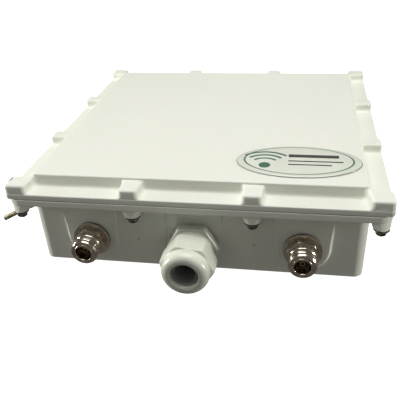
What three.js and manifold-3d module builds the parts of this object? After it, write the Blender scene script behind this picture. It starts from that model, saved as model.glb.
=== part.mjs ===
// Outdoor wireless bridge: a die-cast aluminium box with a screwed lid, two antenna sockets,
// a cable gland, an earth lug and a radio board inside.
//
// Millimetres, +Z up. The origin is the middle of the underside. The connector wall faces -Y.

import * as THREE from 'three';
import { mergeVertices } from 'three/addons/utils/BufferGeometryUtils.js';
import Module from 'manifold-3d';

const wasm = await Module();
wasm.setup();

// ---------------------------------------------------------------- driving dimensions

const GAP = 0.3;                  // clearance between pieces that touch in use

// Casing, seen from above: half widths of the square outlines.
const FLANGE_HALF = 107.5;
const WALL_TOP_HALF = 97.2;
const WALL_FOOT_HALF = 96.6;
const CAVITY_HALF = 92.5;
const PANEL_HALF = 94.7;
const PANEL_FOOT_HALF = 95.6;

// Casing heights above the underside.
const SEAM_Z = 48;
const FLANGE_Z = 43.9;
const FLOOR = 3;
const LEDGE_Z = 51.8;
const LID_TOP = 58.6;
const LID_THICK = 2.8;

// Lid screws, M3, three pitches along each side, each head with its washer in one piece.
const SCREW_HALF = 102;
const SCREW_PITCH = 2 * SCREW_HALF / 3;
const SCREW_R = 1.5;
const SCREW_TIP_Z = 55.4;
const BOSS_R = 6.2;
const BOSS_FOOT_Z = 38.2;
const BOSS_BLOCK_HALF = 4.8;
const BOSS_BLOCK_TOP = 57.2;
const HEX_HEAD_AF = 5.5;
const HEX_HEAD_H = 3.9;
const WASHER_R = 4.4;
const WASHER_H = 0.7;

// Gasket groove in the flange.
const GROOVE_IN = 93.6;
const GROOVE_OUT = 96.8;
const GROOVE_DEPTH = 2.2;

// Connector wall.
const PORT_Z = 19;
const ANTENNA_X = 62;
const PAD_FACE = -98.7;
const PAD_ARC_R = 15.2;
const PAD_ARC_Z = 19;
const PAD_TOP_HALF = 17;
const INNER_WALL = -91.6;

// Antenna socket, type N.
const SOCKET_BARREL_R = 7.94;
const SOCKET_BORE_R = 4.25;
const SOCKET_MOUTH = -115.5;

// Cable gland, 27 mm across flats.
const GLAND_AF = 27;
const GLAND_THREAD_R = 11.2;
const GLAND_BORE_R = 8.2;
const GLAND_HEX_END = -104.7;
const CAP_REAR = -110.5;
const CAP_FRONT = -130.5;
const CAP_MOUTH_R = 7.3;
const CAP_TURN = THREE.MathUtils.degToRad(-8);

// Earth point on the left wall.
const EARTH_Y = -64;
const EARTH_Z = 31.2;
const EARTH_SCREW_R = 2.5;
const EARTH_BOSS_END = -83;
const LUG_BEND_Y = -75;
const LUG_TIP = new THREE.Vector3(-120.5, -95, 27.2);

// Radio board.
const BOARD = { x: 150, y: 105, thick: 1.6, cy: 14, z: 12 };
const BOARD_HOLE_X = 70;
const BOARD_HOLE_Y = 47.5;

// ---------------------------------------------------------------- materials

function paint(colour, roughness, metalness) {
  return new THREE.MeshStandardMaterial({ color: colour, roughness, metalness });
}

const castPaint = paint(0xeceee2, 0.42, 0.0);
const badgeVinyl = paint(0x8fae98, 0.18, 0.0);
const blackSteel = paint(0x2b2b26, 0.45, 0.8);
const nickel = paint(0xb3a68e, 0.25, 1.0);
const zincYellow = paint(0xb7a670, 0.35, 1.0);
const brightZinc = paint(0xb9bcbb, 0.3, 1.0);
const rubber = paint(0x262626, 0.8, 0.0);
const siliconeSeal = paint(0x5b5d5c, 0.85, 0.0);
const glandNylon = paint(0xc9ccbe, 0.45, 0.0);
const whiteFluoro = paint(0xe9e6da, 0.5, 0.0);
const goldPlate = paint(0xd1a552, 0.25, 1.0);
const boardGreen = paint(0x1d5a36, 0.5, 0.0);
const chipBlack = paint(0x1c1c1e, 0.5, 0.0);
const blackAnodised = paint(0x22242a, 0.4, 0.6);
const tinPlate = paint(0xc2c4c3, 0.28, 1.0);
const coaxBrown = paint(0x6d4430, 0.5, 0.0);
const canSleeve = paint(0x23365c, 0.35, 0.1);

// ---------------------------------------------------------------- solids

function solid(geometry) {
  const bare = geometry.index ? geometry.toNonIndexed() : geometry.clone();
  bare.deleteAttribute('normal');
  bare.deleteAttribute('uv');
  const merged = mergeVertices(bare, 1e-4);
  return new wasm.Manifold(new wasm.Mesh({
    numProp: 3,
    vertProperties: new Float32Array(merged.attributes.position.array),
    triVerts: new Uint32Array(merged.index.array),
  }));
}

function union(pieces) {
  return pieces.reduce((whole, piece) => whole.add(piece));
}

function cut(body, tools) {
  return tools.reduce((rest, tool) => rest.subtract(tool), body);
}

function geometryOf(manifold) {
  const mesh = manifold.getMesh();
  const geometry = new THREE.BufferGeometry();
  geometry.setAttribute('position', new THREE.BufferAttribute(new Float32Array(mesh.vertProperties), 3));
  geometry.setIndex(new THREE.BufferAttribute(new Uint32Array(mesh.triVerts), 1));
  geometry.computeVertexNormals();
  return geometry;
}

function block(x0, x1, y0, y1, z0, z1) {
  const box = new THREE.BoxGeometry(x1 - x0, y1 - y0, z1 - z0);
  return solid(box.translate((x0 + x1) / 2, (y0 + y1) / 2, (z0 + z1) / 2));
}

// A profile of [radius, height] points turned about Z.
function turned(profile, segments = 32) {
  const points = profile.map(([r, z]) => new THREE.Vector2(r, z));
  return new THREE.LatheGeometry(points, segments).rotateX(Math.PI / 2);
}

// A vertical cylinder from z0 to z1.
function post(x, y, z0, z1, r, segments = 20) {
  const profile = [[0, z0], [r, z0], [r, z1], [0, z1]];
  return solid(turned(profile, segments).translate(x, y, 0));
}

// Turns a Z-axis shape so that +Z points out of the connector wall, and puts it at x.
function facingFront(geometry, x) {
  return geometry.rotateX(Math.PI / 2).translate(x, 0, PORT_Z);
}

// A body of revolution on a port of the connector wall: [radius, y] points.
function onPort(x, profile, segments = 24) {
  return facingFront(turned(profile.map(([r, y]) => [r, -y]), segments), x);
}

function roundedSquare(half, radius, steps = 4) {
  const points = [];
  for (let corner = 0; corner < 4; corner += 1) {
    const middle = (corner + 0.5) * Math.PI / 2;
    const cx = Math.sign(Math.cos(middle)) * (half - radius);
    const cy = Math.sign(Math.sin(middle)) * (half - radius);
    for (let step = 0; step <= steps; step += 1) {
      const angle = (corner + step / steps) * Math.PI / 2;
      points.push(new THREE.Vector2(cx + radius * Math.cos(angle), cy + radius * Math.sin(angle)));
    }
  }
  return points;
}

// A closed solid through counter-clockwise outlines of equal point count, each { outline, z }.
function loft(sections) {
  const count = sections[0].outline.length;
  const positions = sections.flatMap(({ outline, z }) => outline.flatMap((p) => [p.x, p.y, z]));
  const faces = [];
  const last = (sections.length - 1) * count;
  for (const [a, b, c] of THREE.ShapeUtils.triangulateShape(sections[0].outline, [])) {
    faces.push(a, c, b);
  }
  for (const [a, b, c] of THREE.ShapeUtils.triangulateShape(sections.at(-1).outline, [])) {
    faces.push(last + a, last + b, last + c);
  }
  for (let row = 0; row < last; row += count) {
    for (let i = 0; i < count; i += 1) {
      const j = (i + 1) % count;
      faces.push(row + i, row + j, row + count + j);
      faces.push(row + i, row + count + j, row + count + i);
    }
  }
  const geometry = new THREE.BufferGeometry();
  geometry.setAttribute('position', new THREE.Float32BufferAttribute(positions, 3));
  geometry.setIndex(faces);
  return solid(geometry);
}

function squareLoft(levels) {
  return loft(levels.map(({ half, radius, z }) => ({ outline: roundedSquare(half, radius), z })));
}

// Points round a circle, with a radius that may change from point to point.
function roundOutline(count, radiusOf) {
  return Array.from({ length: count }, (_, i) => {
    const angle = i / count * 2 * Math.PI;
    return new THREE.Vector2(radiusOf(i) * Math.cos(angle), radiusOf(i) * Math.sin(angle));
  });
}

// A regular hexagon across flats af, from z0 to z1, flats towards +-Y.
function hexPrism(af, z0, z1) {
  const outline = new THREE.Shape(roundOutline(6, () => af / Math.sqrt(3)));
  return new THREE.ExtrudeGeometry(outline, { depth: z1 - z0, bevelEnabled: false }).translate(0, 0, z0);
}

const group = new THREE.Group();

function place(name, shape, material) {
  const geometry = shape.isBufferGeometry ? geometryOf(solid(shape)) : geometryOf(shape);
  const mesh = new THREE.Mesh(geometry, material);
  mesh.name = name;
  group.add(mesh);
  return mesh;
}

// The screws of the lid, counter-clockwise from the front left corner.
function screwPlaces() {
  const places = [];
  for (let side = 0; side < 4; side += 1) {
    for (let i = 0; i < 3; i += 1) {
      const along = new THREE.Vector2(i * SCREW_PITCH - SCREW_HALF, -SCREW_HALF);
      places.push(along.rotateAround(new THREE.Vector2(), side * Math.PI / 2));
    }
  }
  return places;
}

// ---------------------------------------------------------------- base housing

const SCREW_PLACES = screwPlaces();
const FOOT_ROUND = 1.6;
const WALL_CORNER_R = 6;
const FLANGE_CORNER_R = 5.5;
const EJECTOR_DIMPLE = { x: 34.6, z: 18.5, r: 1, depth: 0.6 };
const BRACKET_HALF = 50;
const BRACKET_BOSS = { r: 9, top: 11.5, bore_r: 6.2, bore_depth: 9.7 };
const INSERT = { r: 5.9, thread_r: 3.4, foot: 0.3, top: 9.4 };

// A lid screw boss: a post under the flange with a fillet where it meets the flange.
function flangeBoss(at) {
  const fillet = 2.4;
  const profile = [[0, BOSS_FOOT_Z], [BOSS_R - 0.3, BOSS_FOOT_Z], [BOSS_R, BOSS_FOOT_Z + 0.4]];
  const steps = 2;
  for (let i = 0; i <= steps; i += 1) {
    const angle = i / steps * Math.PI / 2;
    profile.push([BOSS_R + fillet * (1 - Math.cos(angle)), FLANGE_Z - fillet + fillet * Math.sin(angle)]);
  }
  profile.push([BOSS_R + fillet, FLANGE_Z + 1], [0, FLANGE_Z + 1]);
  return solid(turned(profile, 16).translate(at.x, at.y, 0));
}

// A shallow U-shaped pad on the connector wall, open at the flange.
function portPad(x) {
  const outline = new THREE.Shape();
  outline.moveTo(-PAD_TOP_HALF, FLANGE_Z + 1);
  outline.lineTo(-PAD_ARC_R, PAD_ARC_Z);
  outline.absarc(0, PAD_ARC_Z, PAD_ARC_R, Math.PI, 2 * Math.PI, false);
  outline.lineTo(PAD_TOP_HALF, FLANGE_Z + 1);
  const depth = -PAD_FACE - WALL_FOOT_HALF + 2;
  const slab = new THREE.ExtrudeGeometry(outline, { depth, bevelEnabled: false, curveSegments: 10 });
  return solid(slab.rotateX(Math.PI / 2).translate(x, PAD_FACE + depth, 0));
}

function portBore(x, r) {
  return solid(onPort(x, [[0, INNER_WALL + 4], [r, INNER_WALL + 4], [r, PAD_FACE - 2], [0, PAD_FACE - 2]]));
}

function baseHousing() {
  const shell = squareLoft([
    { half: WALL_FOOT_HALF - FOOT_ROUND, radius: WALL_CORNER_R - FOOT_ROUND / 2, z: 0 },
    { half: WALL_FOOT_HALF - FOOT_ROUND * 0.3, radius: WALL_CORNER_R, z: FOOT_ROUND * 0.3 },
    { half: WALL_FOOT_HALF, radius: WALL_CORNER_R, z: FOOT_ROUND },
    { half: WALL_TOP_HALF, radius: WALL_CORNER_R, z: FLANGE_Z + 1 },
  ]);
  const flange = squareLoft([
    { half: FLANGE_HALF - 0.5, radius: FLANGE_CORNER_R, z: FLANGE_Z },
    { half: FLANGE_HALF, radius: FLANGE_CORNER_R, z: FLANGE_Z + 0.7 },
    { half: FLANGE_HALF, radius: FLANGE_CORNER_R, z: SEAM_Z },
  ]);
  const trim = squareLoft([
    { half: FLANGE_HALF - 0.5, radius: FLANGE_CORNER_R, z: 0 },
    { half: FLANGE_HALF - 0.5, radius: FLANGE_CORNER_R, z: SEAM_Z },
  ]);
  const bosses = union(SCREW_PLACES.map(flangeBoss)).intersect(trim);
  const pads = [-ANTENNA_X, 0, ANTENNA_X].map(portPad);
  const cavity = squareLoft([
    { half: CAVITY_HALF - 0.8, radius: 4, z: FLOOR },
    { half: CAVITY_HALF, radius: 4, z: SEAM_Z + 1 },
  ]);
  const groove = cut(
    squareLoft([
      { half: GROOVE_OUT, radius: 7, z: SEAM_Z - GROOVE_DEPTH },
      { half: GROOVE_OUT, radius: 7, z: SEAM_Z + 1 },
    ]),
    [squareLoft([
      { half: GROOVE_IN, radius: 4, z: SEAM_Z - GROOVE_DEPTH - 1 },
      { half: GROOVE_IN, radius: 4, z: SEAM_Z + 2 },
    ])],
  );
  const outside = union([shell, flange, bosses, ...pads]);
  const inside = [
    ...boardHoles().map(([x, y]) => post(x, y, FLOOR - 1, BOARD.z - GAP, 3.5, 16)),
    ...bracketPlaces().map(([x, y]) => post(x, y, FLOOR - 1, BRACKET_BOSS.top, BRACKET_BOSS.r, 16)),
    earthBossInside(),
  ];
  const hollow = cut(outside, [cavity, groove]);
  const holes = [
    ...SCREW_PLACES.map((at) => post(at.x, at.y, 0, SEAM_Z + 1, SCREW_R + GAP, 12)),
    ...boardHoles().map(([x, y]) => post(x, y, FLOOR + 1, BOARD.z, 1.5 + GAP, 12)),
    ...bracketPlaces().map(([x, y]) => post(x, y, -1, BRACKET_BOSS.bore_depth, BRACKET_BOSS.bore_r, 16)),
    portBore(0, GLAND_THREAD_R + GAP),
    portBore(-ANTENNA_X, SOCKET_BARREL_R + GAP),
    portBore(ANTENNA_X, SOCKET_BARREL_R + GAP),
    earthHole(),
    ...[-1, 1].map(dimple),
  ];
  return cut(union([hollow, ...inside]), holes);
}

function dimple(side) {
  const { x, z, r, depth } = EJECTOR_DIMPLE;
  const pit = new THREE.CylinderGeometry(r, r * 0.6, depth + 2, 12);
  return solid(pit.rotateX(Math.PI).translate(side * x, -WALL_FOOT_HALF + depth - (depth + 2) / 2 - 0.3, z));
}

function boardHoles() {
  return [[-1, -1], [1, -1], [1, 1], [-1, 1]].map(([i, j]) => [i * BOARD_HOLE_X, BOARD.cy + j * BOARD_HOLE_Y]);
}

function bracketPlaces() {
  return [[-1, -1], [1, -1], [1, 1], [-1, 1]].map(([i, j]) => [i * BRACKET_HALF, j * BRACKET_HALF]);
}

// A steel thread insert for one M8 bracket bolt, flush with the underside.
function bracketInsert([x, y]) {
  const { r, thread_r: threadR, foot, top } = INSERT;
  const ring = [[threadR + 0.6, foot], [r, foot], [r, top], [threadR, top], [threadR, foot + 0.6],
    [threadR + 0.6, foot]];
  return turned(ring, 20).translate(x, y, 0);
}

// ---------------------------------------------------------------- lid

// A block over one lid screw, drafted, running back into the raised panel.
function lidBlock(at) {
  const out = FLANGE_HALF - 0.4;
  const middle = new THREE.Vector2(Math.sign(at.x), Math.sign(at.y));
  const corner = Math.abs(Math.abs(at.x) - Math.abs(at.y)) < 1;
  const level = (half, reach, z) => ({ outline: blockOutline(at, middle, corner, half, reach), z });
  return loft([
    level(BOSS_BLOCK_HALF + 0.8, out, LEDGE_Z - 1.5),
    level(BOSS_BLOCK_HALF + 0.1, out - 0.3, BOSS_BLOCK_TOP - 0.8),
    level(BOSS_BLOCK_HALF - 0.5, out - 1.0, BOSS_BLOCK_TOP),
  ]);
}

// Outline of a block, counter-clockwise from above.
function blockOutline(at, middle, corner, half, reach) {
  const inner = PANEL_HALF - 4;
  let points;
  if (corner) {
    const near = 2 * SCREW_HALF - reach - (half - BOSS_BLOCK_HALF);
    const flank = [[near - 4, inner], [near, near - 3], [reach - 1, near - 0.4], [reach, near + 0.6],
      [reach, reach - 2.2]];
    const mirrored = flank.map(([x, y]) => [y, x]).reverse();
    points = [...flank, [reach - 0.7, reach - 0.7], ...mirrored];
    points = points.map(([x, y]) => [x * middle.x, y * middle.y]);
    if (middle.x * middle.y < 0) points.reverse();
  } else {
    const flare = 1.2;
    const side = [[half + flare, inner], [half + flare, PANEL_HALF], [half, PANEL_HALF + 2],
      [half, reach - 1.2], [half - 1.2, reach]];
    points = [...side, ...side.map(([x, y]) => [-x, y]).reverse()];
    const along = Math.abs(at.x) < Math.abs(at.y) ? at.x : at.y;
    if (Math.abs(at.x) < Math.abs(at.y)) points = points.map(([x, y]) => [along + x, y * middle.y]);
    else points = points.map(([x, y]) => [y * middle.x, along + x]);
    const turnedOver = Math.abs(at.x) < Math.abs(at.y) ? middle.y < 0 : middle.x > 0;
    if (turnedOver) points.reverse();
  }
  return points.map(([x, y]) => new THREE.Vector2(x, y));
}

function lidShell() {
  const bottom = SEAM_Z + GAP;
  const ledge = squareLoft([
    { half: FLANGE_HALF, radius: 4, z: bottom },
    { half: FLANGE_HALF, radius: 4, z: LEDGE_Z - 0.8 },
    { half: FLANGE_HALF - 0.8, radius: 4, z: LEDGE_Z },
  ]);
  const panel = squareLoft([
    { half: PANEL_FOOT_HALF, radius: 4, z: LEDGE_Z - 2 },
    { half: PANEL_FOOT_HALF - 0.05, radius: 4, z: LEDGE_Z },
    { half: PANEL_HALF + 0.1, radius: 3.5, z: LID_TOP - 1 },
    { half: PANEL_HALF - 0.25, radius: 3.3, z: LID_TOP - 0.25 },
    { half: PANEL_HALF - 1, radius: 3, z: LID_TOP },
  ]);
  const cavity = squareLoft([
    { half: CAVITY_HALF - 1, radius: 4, z: 0 },
    { half: CAVITY_HALF - 2, radius: 4, z: LID_TOP - LID_THICK },
  ]);
  const taps = SCREW_PLACES.map((at) => post(at.x, at.y, 0, SCREW_TIP_Z + GAP, SCREW_R + GAP, 12));
  return cut(union([ledge, panel, ...SCREW_PLACES.map(lidBlock)]), [cavity, ...taps]);
}

function lidGasket() {
  const inner = GROOVE_IN + GAP;
  const outer = GROOVE_OUT - GAP;
  const low = SEAM_Z - GROOVE_DEPTH + 0.1;
  const top = SEAM_Z + GAP / 2;
  const ring = squareLoft([{ half: outer, radius: 6.7, z: low }, { half: outer, radius: 6.7, z: top }]);
  return cut(ring, [squareLoft([{ half: inner, radius: 4.3, z: 0 }, { half: inner, radius: 4.3, z: LID_TOP }])]);
}

// An oval domed badge near the front right corner of the panel.
function lidBadge() {
  const centre = { x: 57.4, y: -68.7, a: 35.6, b: 19.5 };
  const ellipse = (inset) => roundOutline(48, () => 1).map((p) => new THREE.Vector2(
    centre.x + (centre.a - inset) * p.x, centre.y + (centre.b - inset) * p.y));
  const foot = LID_TOP + 0.1;
  return loft([
    { outline: ellipse(0), z: foot },
    { outline: ellipse(0), z: foot + 0.4 },
    { outline: ellipse(0.6), z: foot + 0.9 },
    { outline: ellipse(2.4), z: foot + 1.3 },
  ]);
}

// A hexagon-head screw that goes in from below.
function lidScrew(at) {
  const seat = BOSS_FOOT_Z - 0.2;
  const head = solid(hexPrism(HEX_HEAD_AF, seat - HEX_HEAD_H, seat));
  const corner = HEX_HEAD_AF / Math.sqrt(3);
  const dressed = head.intersect(solid(turned([
    [0, seat - HEX_HEAD_H], [corner - 0.9, seat - HEX_HEAD_H], [corner + 0.1, seat - HEX_HEAD_H + 0.8],
    [corner + 0.1, seat], [0, seat],
  ], 12)));
  const washer = solid(turned([
    [0, seat - WASHER_H], [WASHER_R - 0.2, seat - WASHER_H], [WASHER_R, seat - WASHER_H + 0.2], [WASHER_R, seat], [0, seat],
  ], 16));
  const shank = solid(turned([
    [0, seat - 1], [SCREW_R, seat - 1], [SCREW_R, SCREW_TIP_Z - 0.6], [SCREW_R - 0.6, SCREW_TIP_Z], [0, SCREW_TIP_Z],
  ], 10));
  return union([dressed, washer, shank]).translate([at.x, at.y, 0]);
}

// ---------------------------------------------------------------- antenna sockets

const SOCKET_FLANGE = { r: 11, rear: PAD_FACE - 1.3, front: -101.5 };
const SOCKET_REAR = -82;

function socketBody(x) {
  const b = SOCKET_BARREL_R;
  const groove = b - 0.7;
  const outer = [
    [2.6, SOCKET_REAR], [6, SOCKET_REAR], [6, INNER_WALL + 4.5], [b, INNER_WALL + 4.2],
    [b, SOCKET_FLANGE.rear], [SOCKET_FLANGE.r, SOCKET_FLANGE.rear],
    [SOCKET_FLANGE.r, SOCKET_FLANGE.front + 0.4], [SOCKET_FLANGE.r - 0.4, SOCKET_FLANGE.front],
    [b - 0.4, SOCKET_FLANGE.front], [b - 0.4, -105.6], [b, -106], [b, -108.6], [groove, -109],
    [groove, -110], [b, -110.4], [b, SOCKET_MOUTH + 1.3], [b - 1.3, SOCKET_MOUTH],
  ];
  const inner = [
    [SOCKET_BORE_R + 0.7, SOCKET_MOUTH], [SOCKET_BORE_R, SOCKET_MOUTH + 0.7],
    [SOCKET_BORE_R, -104.3], [2.6, -104.3], [2.6, SOCKET_REAR],
  ];
  const body = solid(onPort(x, [...outer, ...inner]));
  const hexPart = solid(facingFront(hexPrism(2 * (b - 0.5), 100, 105.6), x));
  const keep = block(x - 20, x + 20, -105.6, SOCKET_FLANGE.front - 0.01, 0, 40);
  return cut(body, [keep.subtract(hexPart).subtract(block(x - 20, x + 20, -105.6, -105.5, 0, 40))]);
}

function socketInsulator(x) {
  const r = 2.6 - GAP;
  return onPort(x, [[1.0 + GAP, SOCKET_REAR], [r, SOCKET_REAR], [r, -104.3 - GAP],
    [r + 0.8, -104.3 - GAP], [r + 0.8, -108], [1.8 + GAP, -108], [1.8 + GAP, -106.5],
    [1.0 + GAP, -106.5], [1.0 + GAP, SOCKET_REAR]], 24);
}

function socketContact(x) {
  return onPort(x, [[0, SOCKET_REAR - 1], [1.0, SOCKET_REAR - 1], [1.0, -106.8], [1.8, -107.1],
    [1.8, -111.6], [1.5, -112], [0.8, -112], [0.8, -108], [0, -108]], 20);
}

function ringOnPort(x, r0, r1, y0, y1, segments = 24) {
  return onPort(x, [[r0, y0], [r1, y0], [r1, y1], [r0, y1], [r0, y0]], segments);
}

function socketNut(x) {
  const rear = INNER_WALL + GAP;
  const hex = solid(facingFront(hexPrism(19, -rear - 3, -rear), x));
  return cut(hex, [solid(onPort(x, [[0, rear + 5], [SOCKET_BARREL_R + GAP, rear + 5],
    [SOCKET_BARREL_R + GAP, rear - 1], [0, rear - 1]]))]);
}

// ---------------------------------------------------------------- cable gland

function hexAt(af, y0, y1, angle) {
  return solid(facingFront(hexPrism(af, -y0, -y1).rotateZ(angle), 0));
}

function glandBody() {
  const seat = PAD_FACE - 1.5;
  const neck = GLAND_THREAD_R + 0.6;
  const hex = hexAt(GLAND_AF, seat, GLAND_HEX_END, 0);
  const chamfer = solid(onPort(0, [[0, seat], [15.8, seat], [15.8, GLAND_HEX_END + 1],
    [14.6, GLAND_HEX_END], [0, GLAND_HEX_END]]));
  const stem = solid(onPort(0, [
    [0, -80], [GLAND_THREAD_R - 0.5, -80], [GLAND_THREAD_R, -80.5], [GLAND_THREAD_R, seat + 0.5],
    [neck, seat - 0.5], [neck, -117], [neck - 0.6, -117.6], [0, -117.6],
  ]));
  const bore = solid(onPort(0, [[0, -70], [GLAND_BORE_R, -70], [GLAND_BORE_R, -106], [9.9, -107.5],
    [9.9, -125], [0, -125]]));
  return cut(hex.intersect(chamfer).add(stem), [bore]);
}

function glandCap() {
  const inner = GLAND_THREAD_R + 0.6 + GAP;
  const hexEnd = -120;
  const hex = hexAt(GLAND_AF, CAP_REAR, hexEnd, CAP_TURN);
  const trim = solid(onPort(0, [[0, CAP_REAR], [14.9, CAP_REAR], [15.4, CAP_REAR - 0.7], [15.4, hexEnd + 1.6],
    [13.6, hexEnd], [0, hexEnd]]));
  const nose = [[0, CAP_REAR - 2], [13.1, CAP_REAR - 2], [13.1, -123.5]];
  const steps = 6;
  for (let i = 1; i <= steps; i += 1) {
    const angle = i / steps * Math.PI / 2;
    nose.push([8.9 + 4.2 * Math.cos(angle), -123.5 - 7 * Math.sin(angle)]);
  }
  nose.push([0, CAP_FRONT]);
  const bore = solid(onPort(0, [[0, CAP_REAR + 1], [inner, CAP_REAR + 1], [inner, -121], [9.6, -124.5],
    [CAP_MOUTH_R, -127.5], [CAP_MOUTH_R, CAP_FRONT + 0.7], [CAP_MOUTH_R + 0.7, CAP_FRONT - 0.1],
    [CAP_MOUTH_R + 0.7, CAP_FRONT - 1], [0, CAP_FRONT - 1]]));
  return cut(hex.intersect(trim).add(solid(onPort(0, nose))), [bore]);
}

// Clamping claws: a ring whose fingers are divided by slots.
function glandClaws() {
  const ring = solid(ringOnPort(0, 8.3, 9.5, -112, -124));
  const slots = [];
  const fingers = 12;
  for (let i = 0; i < fingers / 2; i += 1) {
    const slot = new THREE.BoxGeometry(30, 1, 9).translate(0, 0, 120.5);
    slots.push(solid(facingFront(slot.rotateZ(i / fingers * 2 * Math.PI), 0)));
  }
  return cut(ring, slots);
}

function glandSeal() {
  return onPort(0, [[5.6, -113], [8.0, -113], [8.0, -124], [7.0, -126.8], [6.4, -127.2], [5.6, -126],
    [5.6, -113]]);
}

function glandLockNut() {
  const rear = INNER_WALL + 0.6;
  return cut(hexAt(GLAND_AF, rear + 5, rear, 0.3), [solid(onPort(0, [[0, rear + 6],
    [GLAND_THREAD_R + GAP, rear + 6], [GLAND_THREAD_R + GAP, rear - 1], [0, rear - 1]]))]);
}

// ---------------------------------------------------------------- earth point

function sideways(geometry, x) {
  return geometry.rotateY(-Math.PI / 2).translate(x, EARTH_Y, EARTH_Z);
}

function earthBossInside() {
  return solid(sideways(turned([[0, 0], [6, 0], [6, 10.5], [0, 10.5]], 16), EARTH_BOSS_END));
}

function earthHole() {
  const r = EARTH_SCREW_R + GAP;
  return solid(sideways(turned([[0, 0], [r, 0], [r, 20], [0, 20]], 16), EARTH_BOSS_END - 2));
}

const LUG_FACE = -WALL_TOP_HALF - 1.3;
const LUG_THICK = 1;

function earthStarWasher() {
  const teeth = 12;
  const outline = new THREE.Shape(roundOutline(2 * teeth, (i) => (i % 2 ? 4.0 : 4.9)));
  outline.holes.push(new THREE.Path().absarc(0, 0, EARTH_SCREW_R + GAP, 0, 2 * Math.PI, true));
  const plate = new THREE.ExtrudeGeometry(outline, { depth: 0.6, bevelEnabled: false, curveSegments: 8 });
  return sideways(plate, LUG_FACE + 0.8);
}

// A ring terminal whose barrel is bent away from the wall.
function earthLug() {
  const ring = new THREE.Shape();
  ring.absarc(0, 0, 5, 0, 2 * Math.PI, false);
  ring.holes.push(new THREE.Path().absarc(0, 0, EARTH_SCREW_R + GAP, 0, 2 * Math.PI, true));
  const eye = solid(sideways(
    new THREE.ExtrudeGeometry(ring, { depth: LUG_THICK, bevelEnabled: false, curveSegments: 12 }), LUG_FACE));
  const tongue = block(LUG_FACE - LUG_THICK, LUG_FACE, LUG_BEND_Y, EARTH_Y - 4, EARTH_Z - 1.6, EARTH_Z + 1.6);
  const bend = new THREE.Vector3(LUG_FACE - LUG_THICK / 2, LUG_BEND_Y, EARTH_Z);
  const reach = new THREE.Vector3().subVectors(LUG_TIP, bend);
  const length = reach.length();
  const barrel = turned([[0, 0], [1.3, 0], [1.6, 5], [1.6, length], [0.9, length], [0.9, length - 8],
    [0, length - 8]], 16);
  const aim = new THREE.Quaternion().setFromUnitVectors(new THREE.Vector3(0, 0, 1), reach.normalize());
  barrel.applyQuaternion(aim).translate(bend.x, bend.y, bend.z);
  const knuckle = new THREE.SphereGeometry(1.5, 12, 8).translate(bend.x, bend.y, bend.z);
  return cut(union([eye, tongue, solid(barrel), solid(knuckle)]),
    [block(LUG_FACE, LUG_FACE + 5, LUG_BEND_Y - 12, EARTH_Y + 12, 0, 50)]);
}

function earthScrew() {
  const seat = -LUG_FACE + LUG_THICK + 0.2;
  const head = solid(hexPrism(8, seat, seat + 3.5));
  const flangeDisc = solid(turned([[0, seat], [4.7, seat], [4.7, seat + 0.8], [0, seat + 0.8]], 24));
  const slot = block(-5, 5, -0.5, 0.5, seat + 2.6, seat + 4);
  const tip = -EARTH_BOSS_END + 2 + GAP;
  const r = EARTH_SCREW_R;
  const shank = solid(turned([[0, tip], [r - 0.6, tip], [r, tip + 0.6], [r, seat + 1], [0, seat + 1]], 16));
  const screw = cut(union([head, flangeDisc, shank]), [slot]);
  return sideways(geometryOf(screw), 0);
}

// ---------------------------------------------------------------- radio board

const BOARD_TOP = BOARD.z + BOARD.thick;

function onBoard(x, y, w, d, h, lift = GAP) {
  const z = BOARD_TOP + lift;
  return block(x - w / 2, x + w / 2, y - d / 2, y + d / 2, z, z + h);
}

function mainBoard() {
  const plate = block(-BOARD.x / 2, BOARD.x / 2, BOARD.cy - BOARD.y / 2, BOARD.cy + BOARD.y / 2,
    BOARD.z, BOARD_TOP);
  return cut(plate, boardHoles().map(([x, y]) => post(x, y, 0, 30, 1.5 + GAP, 12)));
}

function boardScrew([x, y]) {
  const seat = BOARD_TOP + 0.1;
  const head = turned([[0, FLOOR + 2], [1.5, FLOOR + 2], [1.5, seat], [2.8, seat], [2.8, seat + 1.2],
    [2.2, seat + 2], [0, seat + 2]], 12).translate(x, y, 0);
  const slot = block(x - 2.2, x + 2.2, y - 0.4, y + 0.4, seat + 1.2, seat + 3);
  const cross = block(x - 0.4, x + 0.4, y - 2.2, y + 2.2, seat + 1.2, seat + 3);
  return cut(solid(head), [slot, cross]);
}

const JACK = { x: -50, y: -26, w: 16, d: 21, h: 13.5 };
const RADIO = { x: 22, y: 0, w: 60, d: 46, h: 1, lift: 5 };

function ethernetJack() {
  const body = onBoard(JACK.x, JACK.y, JACK.w, JACK.d, JACK.h);
  const z = BOARD_TOP + 2;
  const mouthY = JACK.y - JACK.d / 2;
  const opening = block(JACK.x - 6, JACK.x + 6, mouthY - 1, mouthY + 14, z + 2, z + 9);
  const latch = block(JACK.x - 2, JACK.x + 2, mouthY - 1, mouthY + 5, z + 0.6, z + 3);
  return cut(body, [opening, latch]);
}

function heatSink() {
  const base = onBoard(-28, 34, 30, 30, 3, 2.4);
  const fins = [];
  for (let i = 0; i < 7; i += 1) {
    const x = -42 + i * 4.67;
    fins.push(block(x - 0.7, x + 0.7, 19, 49, BOARD_TOP + 5, BOARD_TOP + 14));
  }
  return union([base, ...fins]);
}

function radioCard() {
  return onBoard(RADIO.x, RADIO.y, RADIO.w, RADIO.d, RADIO.h, RADIO.lift);
}

function radioShield() {
  return onBoard(RADIO.x - 6, RADIO.y + 3, 36, 30, 3, RADIO.lift + RADIO.h + GAP);
}

// The card's edge connector, with a low step that the card's rear edge lies over.
function radioSocket() {
  const rear = RADIO.y + RADIO.d / 2;
  const step = onBoard(RADIO.x, rear, 64, 7, RADIO.lift - 2 * GAP);
  return step.add(onBoard(RADIO.x, rear + GAP + 2, 64, 4, 7.6));
}

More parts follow.
